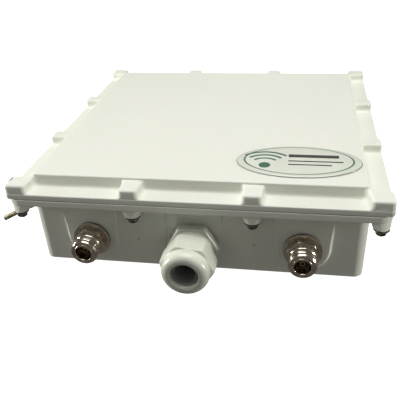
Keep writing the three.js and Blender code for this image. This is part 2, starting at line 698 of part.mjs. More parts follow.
function capacitor([x, y]) {
  const z = BOARD_TOP + GAP;
  return turned([[0, z], [5, z], [5, z + 1], [4.7, z + 1.5], [5, z + 2], [5, z + 14.6], [4.6, z + 15], [0, z + 15]],
    16).translate(x, y, 0);
}

// A thin coaxial lead from the back of an antenna socket to the radio card.
const LEAD_R = 1.1;
const PLUG_Y = RADIO.y - 17;

function leadPlugX(side) {
  return RADIO.x + side * 24;
}

function antennaLead(side) {
  const x = side * ANTENNA_X;
  const end = leadPlugX(side);
  const top = BOARD_TOP + RADIO.lift + RADIO.h + 2.6;
  const route = new THREE.CatmullRomCurve3([
    [x, SOCKET_REAR + GAP + 0.5, PORT_Z], [x, SOCKET_REAR + 7, PORT_Z], [x - side * 2, -66, PORT_Z + 5],
    [(2 * x + end) / 3, -52, PORT_Z + 10], [(x + 2 * end) / 3, -38, PORT_Z + 10], [end, PLUG_Y - 12, top + 2],
    [end, PLUG_Y - 6, top], [end, PLUG_Y - 2.2 - GAP, top],
  ].map((p) => new THREE.Vector3(...p)), false, 'centripetal');
  const section = new THREE.Shape(roundOutline(8, () => LEAD_R));
  return new THREE.ExtrudeGeometry(section, { steps: 24, extrudePath: route, bevelEnabled: false });
}

function leadPlug(side) {
  const x = leadPlugX(side);
  const z = BOARD_TOP + RADIO.lift + RADIO.h + GAP;
  const cap = post(x, PLUG_Y, z, z + 3.2, 2.2, 16);
  return cap.add(block(x - 1.6, x + 1.6, PLUG_Y - 2.2, PLUG_Y, z + 0.8, z + 3.2));
}

// ---------------------------------------------------------------- assembly

place('base_housing', baseHousing(), castPaint);
bracketPlaces().forEach((at, i) => place(`bracket_insert_${i + 1}`, bracketInsert(at), brightZinc));
place('lid', lidShell(), castPaint);
place('lid_gasket', lidGasket(), siliconeSeal);
place('lid_badge', lidBadge(), badgeVinyl);

SCREW_PLACES.forEach((at, i) => {
  place(`lid_screw_${String(i + 1).padStart(2, '0')}`, lidScrew(at), blackSteel);
});

for (const [name, side] of [['left', -1], ['right', 1]]) {
  const x = side * ANTENNA_X;
  place(`antenna_socket_${name}`, socketBody(x), nickel);
  place(`socket_insulator_${name}`, socketInsulator(x), whiteFluoro);
  place(`socket_contact_${name}`, socketContact(x), goldPlate);
  place(`socket_seal_${name}`, ringOnPort(x, SOCKET_BARREL_R + GAP, 11.2, PAD_FACE - 0.1, PAD_FACE - 1.1), rubber);
  place(`socket_nut_${name}`, socketNut(x), nickel);
  place(`antenna_lead_${name}`, antennaLead(side), coaxBrown);
  place(`lead_plug_${name}`, leadPlug(side), goldPlate);
}

place('gland_body', glandBody(), glandNylon);
place('gland_face_seal', ringOnPort(0, GLAND_THREAD_R + GAP, 13.3, PAD_FACE - 0.1, PAD_FACE - 1.2), rubber);
place('gland_lock_nut', glandLockNut(), glandNylon);
place('gland_claws', glandClaws(), glandNylon);
place('gland_seal', glandSeal(), rubber);
place('gland_cap', glandCap(), glandNylon);

place('earth_screw', earthScrew(), brightZinc);
place('earth_star_washer', earthStarWasher(), brightZinc);
place('earth_lug', earthLug(), zincYellow);

place('main_board', mainBoard(), boardGreen);
boardHoles().forEach((at, i) => place(`board_screw_${i + 1}`, boardScrew(at), brightZinc));
place('ethernet_jack', ethernetJack(), tinPlate);
place('processor', onBoard(-28, 34, 17, 17, 1.8), chipBlack);
place('heat_sink', heatSink(), blackAnodised);
place('memory_chip', onBoard(4, 42, 18, 8, 1.1), chipBlack);
place('network_transformer', onBoard(-50, -4, 13, 10, 5.5), chipBlack);
place('power_inductor', onBoard(62, -24, 10, 10, 5), blackAnodised);
place('radio_socket', radioSocket(), chipBlack);
place('radio_card', radioCard(), boardGreen);
place('radio_shield', radioShield(), tinPlate);
[[63, 24], [63, 38]].forEach((at, i) => place(`capacitor_${i + 1}`, capacitor(at), canSleeve));

export default group;
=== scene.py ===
"""Outdoor wireless bridge: the looks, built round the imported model.

Shapes are made in millimetres, in the model's own frame, and a piece becomes metres when it is finished.
"""

import math
import random

import bmesh
import bpy
from mathutils import Matrix, Vector


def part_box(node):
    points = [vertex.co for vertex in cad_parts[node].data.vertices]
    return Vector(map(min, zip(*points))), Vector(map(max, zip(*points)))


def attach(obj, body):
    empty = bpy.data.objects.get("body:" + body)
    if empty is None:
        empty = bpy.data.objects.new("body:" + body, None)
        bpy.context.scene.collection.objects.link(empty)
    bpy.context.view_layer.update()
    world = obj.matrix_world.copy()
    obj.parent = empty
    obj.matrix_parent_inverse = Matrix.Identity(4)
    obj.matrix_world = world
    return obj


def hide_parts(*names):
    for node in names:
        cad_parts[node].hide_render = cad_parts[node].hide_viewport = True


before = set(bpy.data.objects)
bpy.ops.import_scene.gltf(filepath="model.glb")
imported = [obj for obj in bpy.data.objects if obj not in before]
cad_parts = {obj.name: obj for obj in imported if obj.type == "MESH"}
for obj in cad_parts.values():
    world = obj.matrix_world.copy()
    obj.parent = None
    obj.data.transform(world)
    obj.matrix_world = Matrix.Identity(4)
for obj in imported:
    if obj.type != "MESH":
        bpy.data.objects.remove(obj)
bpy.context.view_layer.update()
MM = 0.001


def box_mm(node):
    """The lowest and highest corner of a CAD node, in millimetres."""
    low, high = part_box(node)
    return low / MM, high / MM


def middle_of(node):
    low, high = box_mm(node)
    return (low + high) / 2


def depths(node):
    """How far out of the case, to the front, a node starts and ends."""
    low, high = box_mm(node)
    return -high.y, -low.y


def plan_of(node):
    """A node's middle, and half its width and half its depth."""
    low, high = box_mm(node)
    return (low + high) / 2, (high.x - low.x) / 2, (high.y - low.y) / 2


# ---------------------------------------------------------------- sizes, in millimetres

FLANGE_HALF = box_mm("base_housing")[1].y
SEAM_Z = box_mm("base_housing")[1].z
LID_FOOT_Z = box_mm("lid")[0].z
LID_TOP = box_mm("lid")[1].z
PORT_Z = middle_of("antenna_socket_right").z
ANTENNA_X = middle_of("antenna_socket_right").x
SCREW_NODES = [f"lid_screw_{i:02d}" for i in range(1, 13)]
SCREW_HALF = middle_of("lid_screw_12").x * -1
SCREW_PITCH = 2 * SCREW_HALF / 3
# The board screws and the bracket inserts are numbered by corner.
CORNERS = range(1, 5)

# Casing: half widths of the square outlines, and heights.
WALL_FOOT_HALF = 96.6
WALL_TOP_HALF = 97.2
WALL_CORNER_R = 6.0
FLANGE_CORNER_R = 8.0
FLANGE_Z = 43.9
FOOT_ROUND = 0.9
CAVITY_HALF = 92.5
CAVITY_CORNER_R = 4.0
FLOOR = 3.0
GROOVE_IN = 93.6
GROOVE_OUT = 96.8
GROOVE_DEPTH = 2.2
BOSS_R = 5.6
BOSS_FOOT_Z = 38.2
BOSS_ROUND = 2.0
BOSS_FILLET = 1.8
SCREW_HOLE_R = 1.8

# Raised pads on the connector wall.
PAD_FACE = 98.7
PAD_ARC_R = 15.2
PAD_ARC_Z = 19.0
PAD_TOP_HALF = 17.0
PIT_X = 34.6
PIT_Z = 18.5

# Lid.
LID_HALF = FLANGE_HALF - 0.15
LEDGE_Z = 51.8
LEDGE_CORNER_R = 2.4
PANEL_HALF = 95.3
PANEL_CORNER_R = 2.2
PANEL_FOOT_FILLET = 1.6
PANEL_DRAFT = 0.5
PANEL_EDGE_R = 1.0
LID_THICK = 2.8
BLOCK_TOP = 57.2
BLOCK_EDGE_R = 1.8
BLOCK_FOOT_R = 2.6
CORNER_FOOT_R = 3.0
BLOCK_HALF = 5.3
BLOCK_REACH = FLANGE_HALF - 0.3
CORNER_BLOCK_NEAR = 95.0
CORNER_FLANK_ROOT = 93.8


# ---------------------------------------------------------------- mesh tools


def put_in_scene(name, data):
    obj = bpy.data.objects.new(name, data)
    bpy.context.scene.collection.objects.link(obj)
    return obj


def mesh_object(name, points, faces):
    """A mesh whose faces all point outwards."""
    mesh = bpy.data.meshes.new(name)
    mesh.from_pydata([tuple(p) for p in points], [], faces)
    shape = bmesh.new()
    shape.from_mesh(mesh)
    bmesh.ops.recalc_face_normals(shape, faces=shape.faces)
    shape.to_mesh(mesh)
    shape.free()
    return put_in_scene(name, mesh)


def side_faces(start, after, count):
    """Quads between the ring of points that begins at start and the one that begins at after."""
    return [(start + i, start + (i + 1) % count, after + (i + 1) % count, after + i) for i in range(count)]


def skin(name, rings, closed=False):
    """A solid through rings of equal point count. A closed one joins its last ring to its first."""
    count = len(rings[0])
    faces = []
    for r in range(len(rings) - 1):
        faces += side_faces(r * count, (r + 1) * count, count)
    last = (len(rings) - 1) * count
    if closed:
        faces += side_faces(last, 0, count)
    else:
        faces.append(tuple(range(count)))
        faces.append(tuple(range(last, last + count)))
    return mesh_object(name, [p for ring in rings for p in ring], faces)


def ring_at(z, radius, steps=48):
    """Points round Z. The radius is a number, or a function of the angle."""
    angles = [i / steps * math.tau for i in range(steps)]
    radii = [radius(a) if callable(radius) else radius for a in angles]
    return [(r * math.cos(a), r * math.sin(a), z) for a, r in zip(angles, radii)]


def turned(name, profile, steps=48, closed=False):
    """A body of revolution round Z through (radius, z) places."""
    return skin(name, [ring_at(z, radius, steps) for radius, z in profile], closed)


def arc(centre, radius, start, end, steps):
    """Points of an arc in a profile, from one angle in degrees to another."""
    angles = [math.radians(start + (end - start) * i / steps) for i in range(steps + 1)]
    return [(centre[0] + radius * math.cos(a), centre[1] + radius * math.sin(a)) for a in angles]


def rounded_polygon(corners, offset=0.0, steps=4):
    """A counter-clockwise outline with an arc at each (x, y, radius) corner.

    offset moves the edges out, and may be a list with one value for the edge after each corner.
    """
    count = len(corners)
    offsets = offset if isinstance(offset, list) else [offset] * count
    spots = [Vector(c[:2]) for c in corners]
    points = []
    for i in range(count):
        before = (spots[i] - spots[i - 1]).normalized()
        after = (spots[(i + 1) % count] - spots[i]).normalized()
        turn = math.atan2(before.cross(after), before.dot(after))
        out_before = Vector((before.y, -before.x))
        slide = (offsets[i] - offsets[i - 1] * math.cos(turn)) / math.sin(turn)
        corner = spots[i] + out_before * offsets[i - 1] + before * slide
        sign = math.copysign(1, turn)
        radius = max(corners[i][2] + sign * (offsets[i - 1] + offsets[i]) / 2, 0.15)
        reach = radius * math.tan(abs(turn) / 2)
        centre = corner - before * reach - out_before * radius * sign
        arm = corner - before * reach - centre
        for step in range(steps + 1):
            points.append(centre + Matrix.Rotation(turn * step / steps, 2) @ arm)
    return points


def square_corners(half, radius):
    return [(-half, -half, radius), (half, -half, radius), (half, half, radius), (-half, half, radius)]


def square_loft(name, levels, radius, steps=8):
    """A solid through rounded squares, each given as (half width, z). radius belongs to the widest one."""
    widest = max(half for half, z in levels)
    corners = square_corners(widest, radius)
    return skin(name, [
        [(p.x, p.y, z) for p in rounded_polygon(corners, half - widest, steps)] for half, z in levels
    ])


def block_mesh(name, low, high):
    (x0, y0, z0), (x1, y1, z1) = low, high
    return skin(name, [[(x0, y0, z), (x1, y0, z), (x1, y1, z), (x0, y1, z)] for z in (z0, z1)])


def moved(obj, *steps):
    """Applies matrices to a mesh, first to last."""
    for matrix in steps:
        obj.data.transform(matrix)
    return obj


def copy_at(obj, place):
    return moved(put_in_scene(obj.name, obj.data.copy()), Matrix.Translation(place))


def drop(obj):
    bpy.data.objects.remove(obj)


def stood_at(obj, node):
    """Moves a shape made round Z to a node's place in plan."""
    spot = middle_of(node)
    return moved(obj, Matrix.Translation((spot.x, spot.y, 0)))


def one_for_each_screw(pattern):
    """Copies of a shape made round Z, at the lid screws. The pattern is deleted."""
    copies = [stood_at(copy_at(pattern, (0, 0, 0)), node) for node in SCREW_NODES]
    drop(pattern)
    return copies


def joined(name, pieces):
    """One mesh out of several, which are deleted."""
    shape = bmesh.new()
    for obj in pieces:
        shape.from_mesh(obj.data)
    mesh = bpy.data.meshes.new(name)
    shape.to_mesh(mesh)
    shape.free()
    for obj in pieces:
        drop(obj)
    return put_in_scene(name, mesh)


def boolean(target, operation, *tools):
    """Changes target by tools that don't overlap one another, and deletes the tools."""
    tool = joined("tool", tools)
    modifier = target.modifiers.new("boolean", "BOOLEAN")
    modifier.operation = operation
    modifier.solver = "EXACT"
    modifier.object = tool
    bake_modifiers(target)
    drop(tool)
    return target


def bake_modifiers(obj):
    depsgraph = bpy.context.evaluated_depsgraph_get()
    mesh = bpy.data.meshes.new_from_object(obj.evaluated_get(depsgraph))
    obj.modifiers.clear()
    obj.data = mesh
    return obj


def bevelled(obj, width, segments=2, angle=30):
    """Rounds every edge that turns by more than the angle."""
    modifier = obj.modifiers.new("bevel", "BEVEL")
    modifier.width = width
    modifier.segments = segments
    modifier.limit_method = "ANGLE"
    modifier.angle_limit = math.radians(angle)
    modifier.miter_outer = "MITER_ARC"
    return bake_modifiers(obj)


FACE_FRONT = Matrix.Rotation(math.pi / 2, 4, "X")
FACE_LEFT = Matrix.Rotation(-math.pi / 2, 4, "Y")
SAME_POINT = 1e-3
FLAT_ANGLE = math.radians(1)


def on_port(obj, x):
    """Turns a Z-axis shape so that +Z points out of the connector wall, and puts it on the port at x."""
    return moved(obj, FACE_FRONT, Matrix.Translation((x, 0, PORT_Z)))


def from_node(name, node, bevel):
    """A copy of a CAD node with its faces merged and its edges rounded."""
    shape = bmesh.new()
    shape.from_mesh(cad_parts[node].data)
    bmesh.ops.scale(shape, vec=(1 / MM,) * 3, verts=shape.verts)
    bmesh.ops.remove_doubles(shape, verts=shape.verts, dist=SAME_POINT)
    bmesh.ops.dissolve_limit(shape, angle_limit=FLAT_ANGLE, verts=shape.verts, edges=shape.edges)
    mesh = bpy.data.meshes.new(name)
    shape.to_mesh(mesh)
    shape.free()
    return bevelled(put_in_scene(name, mesh), bevel)


def finished(obj, body, slot, node, sharp=35, material=None):
    """Turns a piece into metres, shades it, and puts it on its body in place of its CAD node."""
    mesh = obj.data
    mesh.transform(Matrix.Scale(MM, 4))
    mesh.materials.clear()
    mesh.materials.append(MATERIALS[material or slot])
    mesh.shade_smooth()
    mesh.set_sharp_from_angle(angle=math.radians(sharp))
    weighted = obj.modifiers.new("weighted normals", "WEIGHTED_NORMAL")
    weighted.keep_sharp = True
    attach(obj, body)
    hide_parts(node)


# ---------------------------------------------------------------- material tools


class Paint:
    """A node material under construction. Its shader's sockets are set by name."""

    def __init__(self, name, colour, roughness, metallic=0.0, **sockets):
        self.material = bpy.data.materials.new(name)
        self.material.use_nodes = True
        self.tree = self.material.node_tree
        self.shader = self.tree.nodes["Principled BSDF"]
        self.set("Base Color", (*colour, 1.0))
        self.set("Roughness", roughness)
        self.set("Metallic", metallic)
        for socket, value in sockets.items():
            self.set(socket.replace("_", " "), value)
        self.place = self.node("ShaderNodeTexCoord").outputs["Object"]
        self.bump_out = None

    def set(self, socket, value):
        self.shader.inputs[socket].default_value = value

    def node(self, kind, **settings):
        made = self.tree.nodes.new(kind)
        for key, value in settings.items():
            setattr(made, key, value)
        return made

    def link(self, output, socket):
        self.tree.links.new(output, socket)

    def noise(self, scale, detail):
        """Noise between 0 and 1. scale is in features for each metre."""
        texture = self.node("ShaderNodeTexNoise")
        texture.inputs["Scale"].default_value = scale
        texture.inputs["Detail"].default_value = detail
        texture.inputs["Roughness"].default_value = 0.5
        self.link(self.place, texture.inputs["Vector"])
        return texture.outputs["Fac"]

    def cells(self, scale, feature="F1"):
        texture = self.node("ShaderNodeTexVoronoi", feature=feature)
        texture.inputs["Scale"].default_value = scale
        self.link(self.place, texture.inputs["Vector"])
        return texture.outputs["Distance"]

    def edges(self):
        """How far a surface point bulges out, about 0.5 where it is flat."""
        return self.node("ShaderNodeNewGeometry").outputs["Pointiness"]

    def remap(self, value, low, high, to_low=0.0, to_high=1.0):
        """Takes low..high to to_low..to_high, and clamps."""
        made = self.node("ShaderNodeMapRange")
        self.link(value, made.inputs["Value"])
        limits = {"From Min": low, "From Max": high, "To Min": to_low, "To Max": to_high}
        for socket, number in limits.items():
            made.inputs[socket].default_value = number
        return made.outputs["Result"]

    def maths(self, operation, *values):
        made = self.node("ShaderNodeMath", operation=operation)
        for value, socket in zip(values, made.inputs):
            if isinstance(value, (int, float)):
                socket.default_value = value
            else:
                self.link(value, socket)
        return made.outputs["Value"]

    def from_point(self, point):
        """Offsets in x, y and z from a point of the frame, in millimetres."""
        parts = self.node("ShaderNodeSeparateXYZ")
        self.link(self.place, parts.inputs["Vector"])
        return [self.maths("MULTIPLY_ADD", parts.outputs[i], 1 / MM, -point[i]) for i in range(3)]

    def length(self, *sides):
        """The length of the diagonal over two or three sides."""
        total = self.maths("MULTIPLY", sides[0], sides[0])
        for side in sides[1:]:
            total = self.maths("MULTIPLY_ADD", side, side, total)
        return self.maths("SQRT", total)

    def inside(self, value, low, high, soft=0.12):
        """1 where the value lies between two limits, and 0 elsewhere, with a soft step."""
        rise = self.remap(value, low - soft, low + soft)
        return self.maths("SUBTRACT", rise, self.remap(value, high - soft, high + soft))

    def blend(self, amount, first, second):
        """A colour between two, each a colour or an output."""
        made = self.node("ShaderNodeMix", data_type="RGBA")
        self.link(amount, made.inputs["Factor"])
        for value, socket in ((first, made.inputs["A"]), (second, made.inputs["B"])):
            if isinstance(value, tuple):
                socket.default_value = (*value[:3], 1.0)
            else:
                self.link(value, socket)
        return made.outputs["Result"]

    def colour_from(self, output):
        self.link(output, self.shader.inputs["Base Color"])
        return self

    def roughness_from(self, output):
        self.link(output, self.shader.inputs["Roughness"])
        return self

    def bump(self, height, distance, strength=1.0):
        """Adds a relief whose full height is the distance, in metres."""
        made = self.node("ShaderNodeBump")
        made.inputs["Strength"].default_value = strength
        made.inputs["Distance"].default_value = distance
        self.link(height, made.inputs["Height"])
        if self.bump_out:
            self.link(self.bump_out, made.inputs["Normal"])
        self.bump_out = made.outputs["Normal"]
        self.link(self.bump_out, self.shader.inputs["Normal"])
        return self


def shade(colour, factor):
    return tuple(min(1.0, c * factor) for c in colour[:3])


# ---------------------------------------------------------------- materials

CAST_WHITE = (0.80, 0.81, 0.72)
CHIP_PLACE = (-BLOCK_REACH + 0.4, -99.6, BLOCK_TOP - 0.3)


def cast_paint():
    """Warm white powder paint on a casting: orange peel, faint clouding, a painted highlight along its edges,
    and one chip.
    """
    paint = Paint("cast_paint", CAST_WHITE, 0.42, Specular_IOR_Level=0.4)
    cloud = paint.remap(paint.noise(9, 4), 0.3, 0.7)
    tone = paint.blend(cloud, shade(CAST_WHITE, 0.975), shade(CAST_WHITE, 1.01))
    speck = paint.remap(paint.noise(1400, 1), 0.74, 0.78)
    tone = paint.blend(speck, tone, shade(CAST_WHITE, 0.86))
    # Painted highlight: convex edges, found by pointiness, are lightened to stand for the light they catch.
    edge_highlight = paint.remap(paint.edges(), 0.53, 0.60, 0.0, 0.35)
    tone = paint.blend(edge_highlight, tone, (0.84, 0.84, 0.77))
    x, y, z = paint.from_point(CHIP_PLACE)
    from_chip = paint.length(x, paint.maths("MULTIPLY", y, 0.6), z)
    ragged = paint.maths("MULTIPLY_ADD", paint.noise(900, 3), 1.6, from_chip)
    chip = paint.inside(ragged, -1, 2.7)
    tone = paint.blend(chip, tone, (0.10, 0.10, 0.11))
    paint.colour_from(tone)
    paint.roughness_from(paint.remap(paint.noise(260, 3), 0.3, 0.7, 0.36, 0.50))
    paint.bump(paint.noise(900, 2), 0.00005, 0.35)
    paint.bump(paint.maths("SUBTRACT", 1.0, chip), 0.00012)
    paint.bump(paint.noise(120, 2), 0.00012, 0.25)
    return paint.material


def plain_metal(name, colour, roughness, grain=900, wear=None):
    """Plated metal: fine grain, uneven tarnish, and bright worn edges."""
    paint = Paint(name, colour, roughness, 1.0)
    tone = paint.blend(paint.remap(paint.noise(350, 4), 0.35, 0.7), shade(colour, 0.72), shade(colour, 1.12))
    if wear:
        tone = paint.blend(paint.remap(paint.edges(), 0.52, 0.60), tone, wear)
    paint.colour_from(tone)
    paint.roughness_from(paint.remap(paint.noise(grain, 3), 0.3, 0.7, roughness * 0.7, roughness * 1.35))
    paint.bump(paint.noise(grain * 3, 2), 0.00002, 0.3)
    return paint.material


def plain_plastic(name, colour, roughness, grain=1600, relief=0.00003):
    """Moulded plastic or rubber: fine grain, slight clouding and a little rubbing on its edges."""
    paint = Paint(name, colour, roughness)
    tone = paint.blend(paint.remap(paint.noise(70, 4), 0.3, 0.7), shade(colour, 0.93), shade(colour, 1.05))
    tone = paint.blend(paint.remap(paint.edges(), 0.52, 0.62, 0.0, 0.3), tone, shade(colour, 1.3))
    paint.colour_from(tone)
    paint.roughness_from(paint.remap(paint.noise(500, 3), 0.3, 0.7, roughness * 0.85, roughness * 1.15))
    paint.bump(paint.noise(grain, 2), relief, 0.4)
    return paint.material


def board_paint():
    """Green solder mask over copper tracks, with plated holes."""
    mask, track, plated = (0.020, 0.13, 0.055), (0.040, 0.22, 0.09), (0.58, 0.48, 0.24)
    paint = Paint("board_green", mask, 0.35)
    tone = paint.blend(paint.remap(paint.noise(70, 4), 0.3, 0.7), shade(mask, 0.93), shade(mask, 1.08))
    tracks = paint.remap(paint.cells(240, "DISTANCE_TO_EDGE"), 0.05, 0.09, 1.0, 0.0)
    tone = paint.blend(tracks, tone, track)
    tone = paint.blend(paint.inside(paint.cells(330), -1.0, 0.11, 0.02), tone, plated)
    paint.colour_from(tone)
    paint.roughness_from(paint.remap(paint.noise(500, 3), 0.3, 0.7, 0.28, 0.42))
    paint.bump(tracks, 0.00004, 0.5)
    return paint.material


def badge_print():
    """A glossy domed label: a cream field in a silver border, with a radio-wave mark and plain bars."""
    ink, green, silver = (0.060, 0.065, 0.050), (0.070, 0.165, 0.105), (0.68, 0.70, 0.61)
    field = (0.74, 0.765, 0.66)
    centre, wide, deep = plan_of("lid_badge")
    paint = Paint("badge", field, 0.14, Coat_Weight=0.6, Coat_Roughness=0.06)
    x, y, _ = paint.from_point(centre)
    reach = paint.length(paint.maths("DIVIDE", x, wide), paint.maths("DIVIDE", y, deep))
    tone = paint.blend(paint.remap(paint.noise(60, 4), 0.3, 0.7), shade(field, 0.96), shade(field, 1.03))
    tone = paint.blend(paint.inside(reach, 0.885, 2.0, 0.006), tone, silver)
    tone = paint.blend(paint.inside(reach, 0.985, 2.0, 0.008), tone, shade(silver, 0.5))
    tone = paint.blend(paint.inside(reach, 0.850, 0.880, 0.006), tone, green)
    # Three waves that spread upwards from a dot.
    wave_x, wave_y, _ = paint.from_point(centre + Vector((-wide * 0.53, -deep * 0.38, 0)))
    radius = paint.length(wave_x, wave_y)
    fan = paint.remap(paint.maths("SUBTRACT", wave_y, paint.maths("ABSOLUTE", wave_x)), -0.3, 0.1)
    waves = paint.inside(radius, 0.4 * deep, 0.48 * deep)
    for inner in (0.61, 0.82):
        waves = paint.maths("ADD", waves, paint.inside(radius, inner * deep, (inner + 0.09) * deep))
    mark = paint.maths("MULTIPLY", waves, fan)
    mark = paint.maths("ADD", mark, paint.inside(radius, -1, 0.17 * deep))
    tone = paint.blend(mark, tone, green)
    # A thick bar over two thin ones.
    for row, thick, last in ((0.26, 0.10, 0.64), (-0.08, 0.035, 0.70), (-0.30, 0.035, 0.52)):
        across = paint.inside(x, -0.16 * wide, last * wide)
        bar = paint.inside(y, (row - thick) * deep, (row + thick) * deep)
        tone = paint.blend(paint.maths("MULTIPLY", across, bar), tone, ink)
    paint.colour_from(tone)
    paint.roughness_from(paint.remap(paint.noise(400, 3), 0.3, 0.7, 0.10, 0.20))
    paint.bump(paint.noise(90, 2), 0.00006, 0.2)
    return paint.material


MATERIALS = {
    "cast_paint": cast_paint(),
    "black_steel": plain_metal("black_steel", (0.16, 0.15, 0.125), 0.40, 700, (0.36, 0.34, 0.28)),
    "nickel": plain_metal("nickel", (0.64, 0.565, 0.465), 0.19, 800, (0.86, 0.80, 0.70)),
    "yellow_zinc": plain_metal("yellow_zinc", (0.35, 0.32, 0.21), 0.46, 700, (0.55, 0.52, 0.38)),
    "bright_zinc": plain_metal("bright_zinc", (0.60, 0.61, 0.60), 0.30, 700, (0.75, 0.76, 0.75)),
    "gold_plate": plain_metal("gold_plate", (0.60, 0.43, 0.20), 0.30),
    "tin_plate": plain_metal("tin_plate", (0.66, 0.67, 0.66), 0.28, 500),
    "black_anodised": plain_metal("black_anodised", (0.030, 0.031, 0.036), 0.40, 600),
    "rubber": plain_plastic("rubber", (0.14, 0.14, 0.135), 0.72, 1200),
    # A lighter copy of the rubber, as painted light: its colour stands in for the light that hardly reaches
    # into the gland's mouth.
    "rubber_painted_light": plain_plastic("rubber_painted_light", (0.36, 0.36, 0.355), 0.55, 1200),
    "seal_silicone": plain_plastic("seal_silicone", (0.18, 0.19, 0.19), 0.80, 1200),
    "gland_nylon": plain_plastic("gland_nylon", (0.69, 0.71, 0.605), 0.24, 2200, 0.00001),
    "white_fluoro": plain_plastic("white_fluoro", (0.74, 0.72, 0.64), 0.45),
    "chip_black": plain_plastic("chip_black", (0.030, 0.030, 0.032), 0.52, 2500),
    "board_green": board_paint(),
    "coax_brown": plain_plastic("coax_brown", (0.17, 0.075, 0.035), 0.45),
    "can_sleeve": plain_plastic("can_sleeve", (0.018, 0.030, 0.10), 0.30),
    "badge": badge_print(),
}


# ---------------------------------------------------------------- camera, light and floor


def make_camera():
    camera = put_in_scene("camera", bpy.data.cameras.new("camera"))
    camera.location = Vector((56.50, -352.21, 201.41)) * MM
    camera.rotation_euler = [math.radians(a) for a in (59.362, 2.883, 9.812)]
    camera.data.lens = 48.99
    camera.data.clip_start = 0.01
    bpy.context.scene.camera = camera


def area_light(name, place, aim, size, watts, tint):
    data = bpy.data.lights.new(name, "AREA")
    data.shape = "RECTANGLE"
    data.size, data.size_y = size
    data.energy = watts
    data.color = tint
    light = put_in_scene(name, data)
    light.location = place
    light.rotation_euler = (Vector(aim) - Vector(place)).to_track_quat("-Z", "Y").to_euler()


def make_floor():
    """A plain pale floor that the studio's white sweep makes nearly shadowless."""
    floor = block_mesh("floor", (-9, -9, -0.02), (9, 9, -0.0005))
    paint = Paint("floor_white", (0.90, 0.90, 0.90), 0.9, Emission_Strength=0.98)
    paint.set("Emission Color", (1.0, 1.0, 1.0, 1.0))
    floor.data.materials.append(paint.material)
    floor.visible_diffuse = False
    floor.visible_glossy = False


REFLECTED_FILL = 0.85


def make_world():
    """Even studio light: brighter above, dimmer in reflections, white where the camera sees it."""
    world = bpy.data.worlds.new("studio")
    world.use_nodes = True
    bpy.context.scene.world = world
    tree = world.node_tree
    tree.nodes.clear()
    new = tree.nodes.new
    output, mix, path = new("ShaderNodeOutputWorld"), new("ShaderNodeMixShader"), new("ShaderNodeLightPath")
    seen, fill, ramp = new("ShaderNodeBackground"), new("ShaderNodeBackground"), new("ShaderNodeValToRGB")
    place, parts = new("ShaderNodeTexCoord"), new("ShaderNodeSeparateXYZ")
    seen.inputs["Color"].default_value = (1, 1, 1, 1)
    ramp.color_ramp.elements[0].position = 0.40
    ramp.color_ramp.elements[0].color = (0.155, 0.147, 0.138, 1)
    ramp.color_ramp.elements[1].position = 0.62
    ramp.color_ramp.elements[1].color = (0.170, 0.170, 0.166, 1)
    height = new("ShaderNodeMapRange")
    height.inputs["From Min"].default_value = -1
    tree.links.new(place.outputs["Generated"], parts.inputs["Vector"])
    tree.links.new(parts.outputs["Z"], height.inputs["Value"])
    tree.links.new(height.outputs["Result"], ramp.inputs["Fac"])
    tree.links.new(ramp.outputs["Color"], fill.inputs["Color"])
    dimmed = new("ShaderNodeMapRange")
    dimmed.inputs["To Min"].default_value = 1.0
    dimmed.inputs["To Max"].default_value = REFLECTED_FILL
    tree.links.new(path.outputs["Is Glossy Ray"], dimmed.inputs["Value"])
    tree.links.new(dimmed.outputs["Result"], fill.inputs["Strength"])
    tree.links.new(path.outputs["Is Camera Ray"], mix.inputs["Fac"])
    tree.links.new(fill.outputs["Background"], mix.inputs[1])
    tree.links.new(seen.outputs["Background"], mix.inputs[2])
    tree.links.new(mix.outputs["Shader"], output.inputs["Surface"])


make_camera()
make_world()
make_floor()
area_light("overhead_box", (-0.03, -0.03, 0.80), (0, -0.24, 0.05), (0.70, 0.60), 5.98, (1.0, 1.0, 0.99))
area_light("right_strip", (0.75, -0.122, 0.12), (0, -0.122, 0.03), (0.06, 0.20), 2.6, (1.0, 1.0, 0.97))
area_light("left_strip", (-0.75, -0.122, 0.12), (0, -0.122, 0.03), (0.06, 0.20), 4.2, (1.0, 1.0, 0.97))
bpy.context.scene.view_settings.view_transform = "Standard"


# ---------------------------------------------------------------- lid


def lid_corners():
    """The outline of the raised panel with its twelve blocks, side by side from the front left corner.

    Each corner is (x, y, radius), and kinds says what the edge after each corner belongs to.
    """
    near, root, reach = CORNER_BLOCK_NEAR, CORNER_FLANK_ROOT, BLOCK_REACH
    side = [
        (-PANEL_HALF, -root, 2.7), (-reach, -near, 2.4), (-reach, -reach, 2.6), (-near, -reach, 2.4),
        (-root, -PANEL_HALF, 2.7),
    ]
    kinds = ["corner flank", "outer", "outer", "corner flank", "wall"]
    for x in (-SCREW_PITCH / 2, SCREW_PITCH / 2):
        side += [
            (x - BLOCK_HALF - 0.3, -PANEL_HALF, 1.6), (x - BLOCK_HALF, -reach, 2.2),
            (x + BLOCK_HALF, -reach, 2.2), (x + BLOCK_HALF + 0.3, -PANEL_HALF, 1.6),
        ]
        kinds += ["flank", "outer", "flank", "wall"]
    corners = []
    for quarter in range(4):
        turn = Matrix.Rotation(quarter * math.pi / 2, 2)
        corners += [(*(turn @ Vector((x, y))), radius) for x, y, radius in side]
    return corners, kinds * 4


def cove(height, radius):
    """How far a fillet of that radius reaches out at a height above its foot."""
    rest = min(radius, max(0.0, radius - height))
    return radius - math.sqrt(radius * radius - rest * rest)


def wall_offset(z):
    """How far the panel's drafted wall stands out at a height."""
    draft = PANEL_DRAFT * max(0.0, z - LEDGE_Z) / (LID_TOP - PANEL_EDGE_R - LEDGE_Z)
    return cove(z - LEDGE_Z, PANEL_FOOT_FILLET) - draft


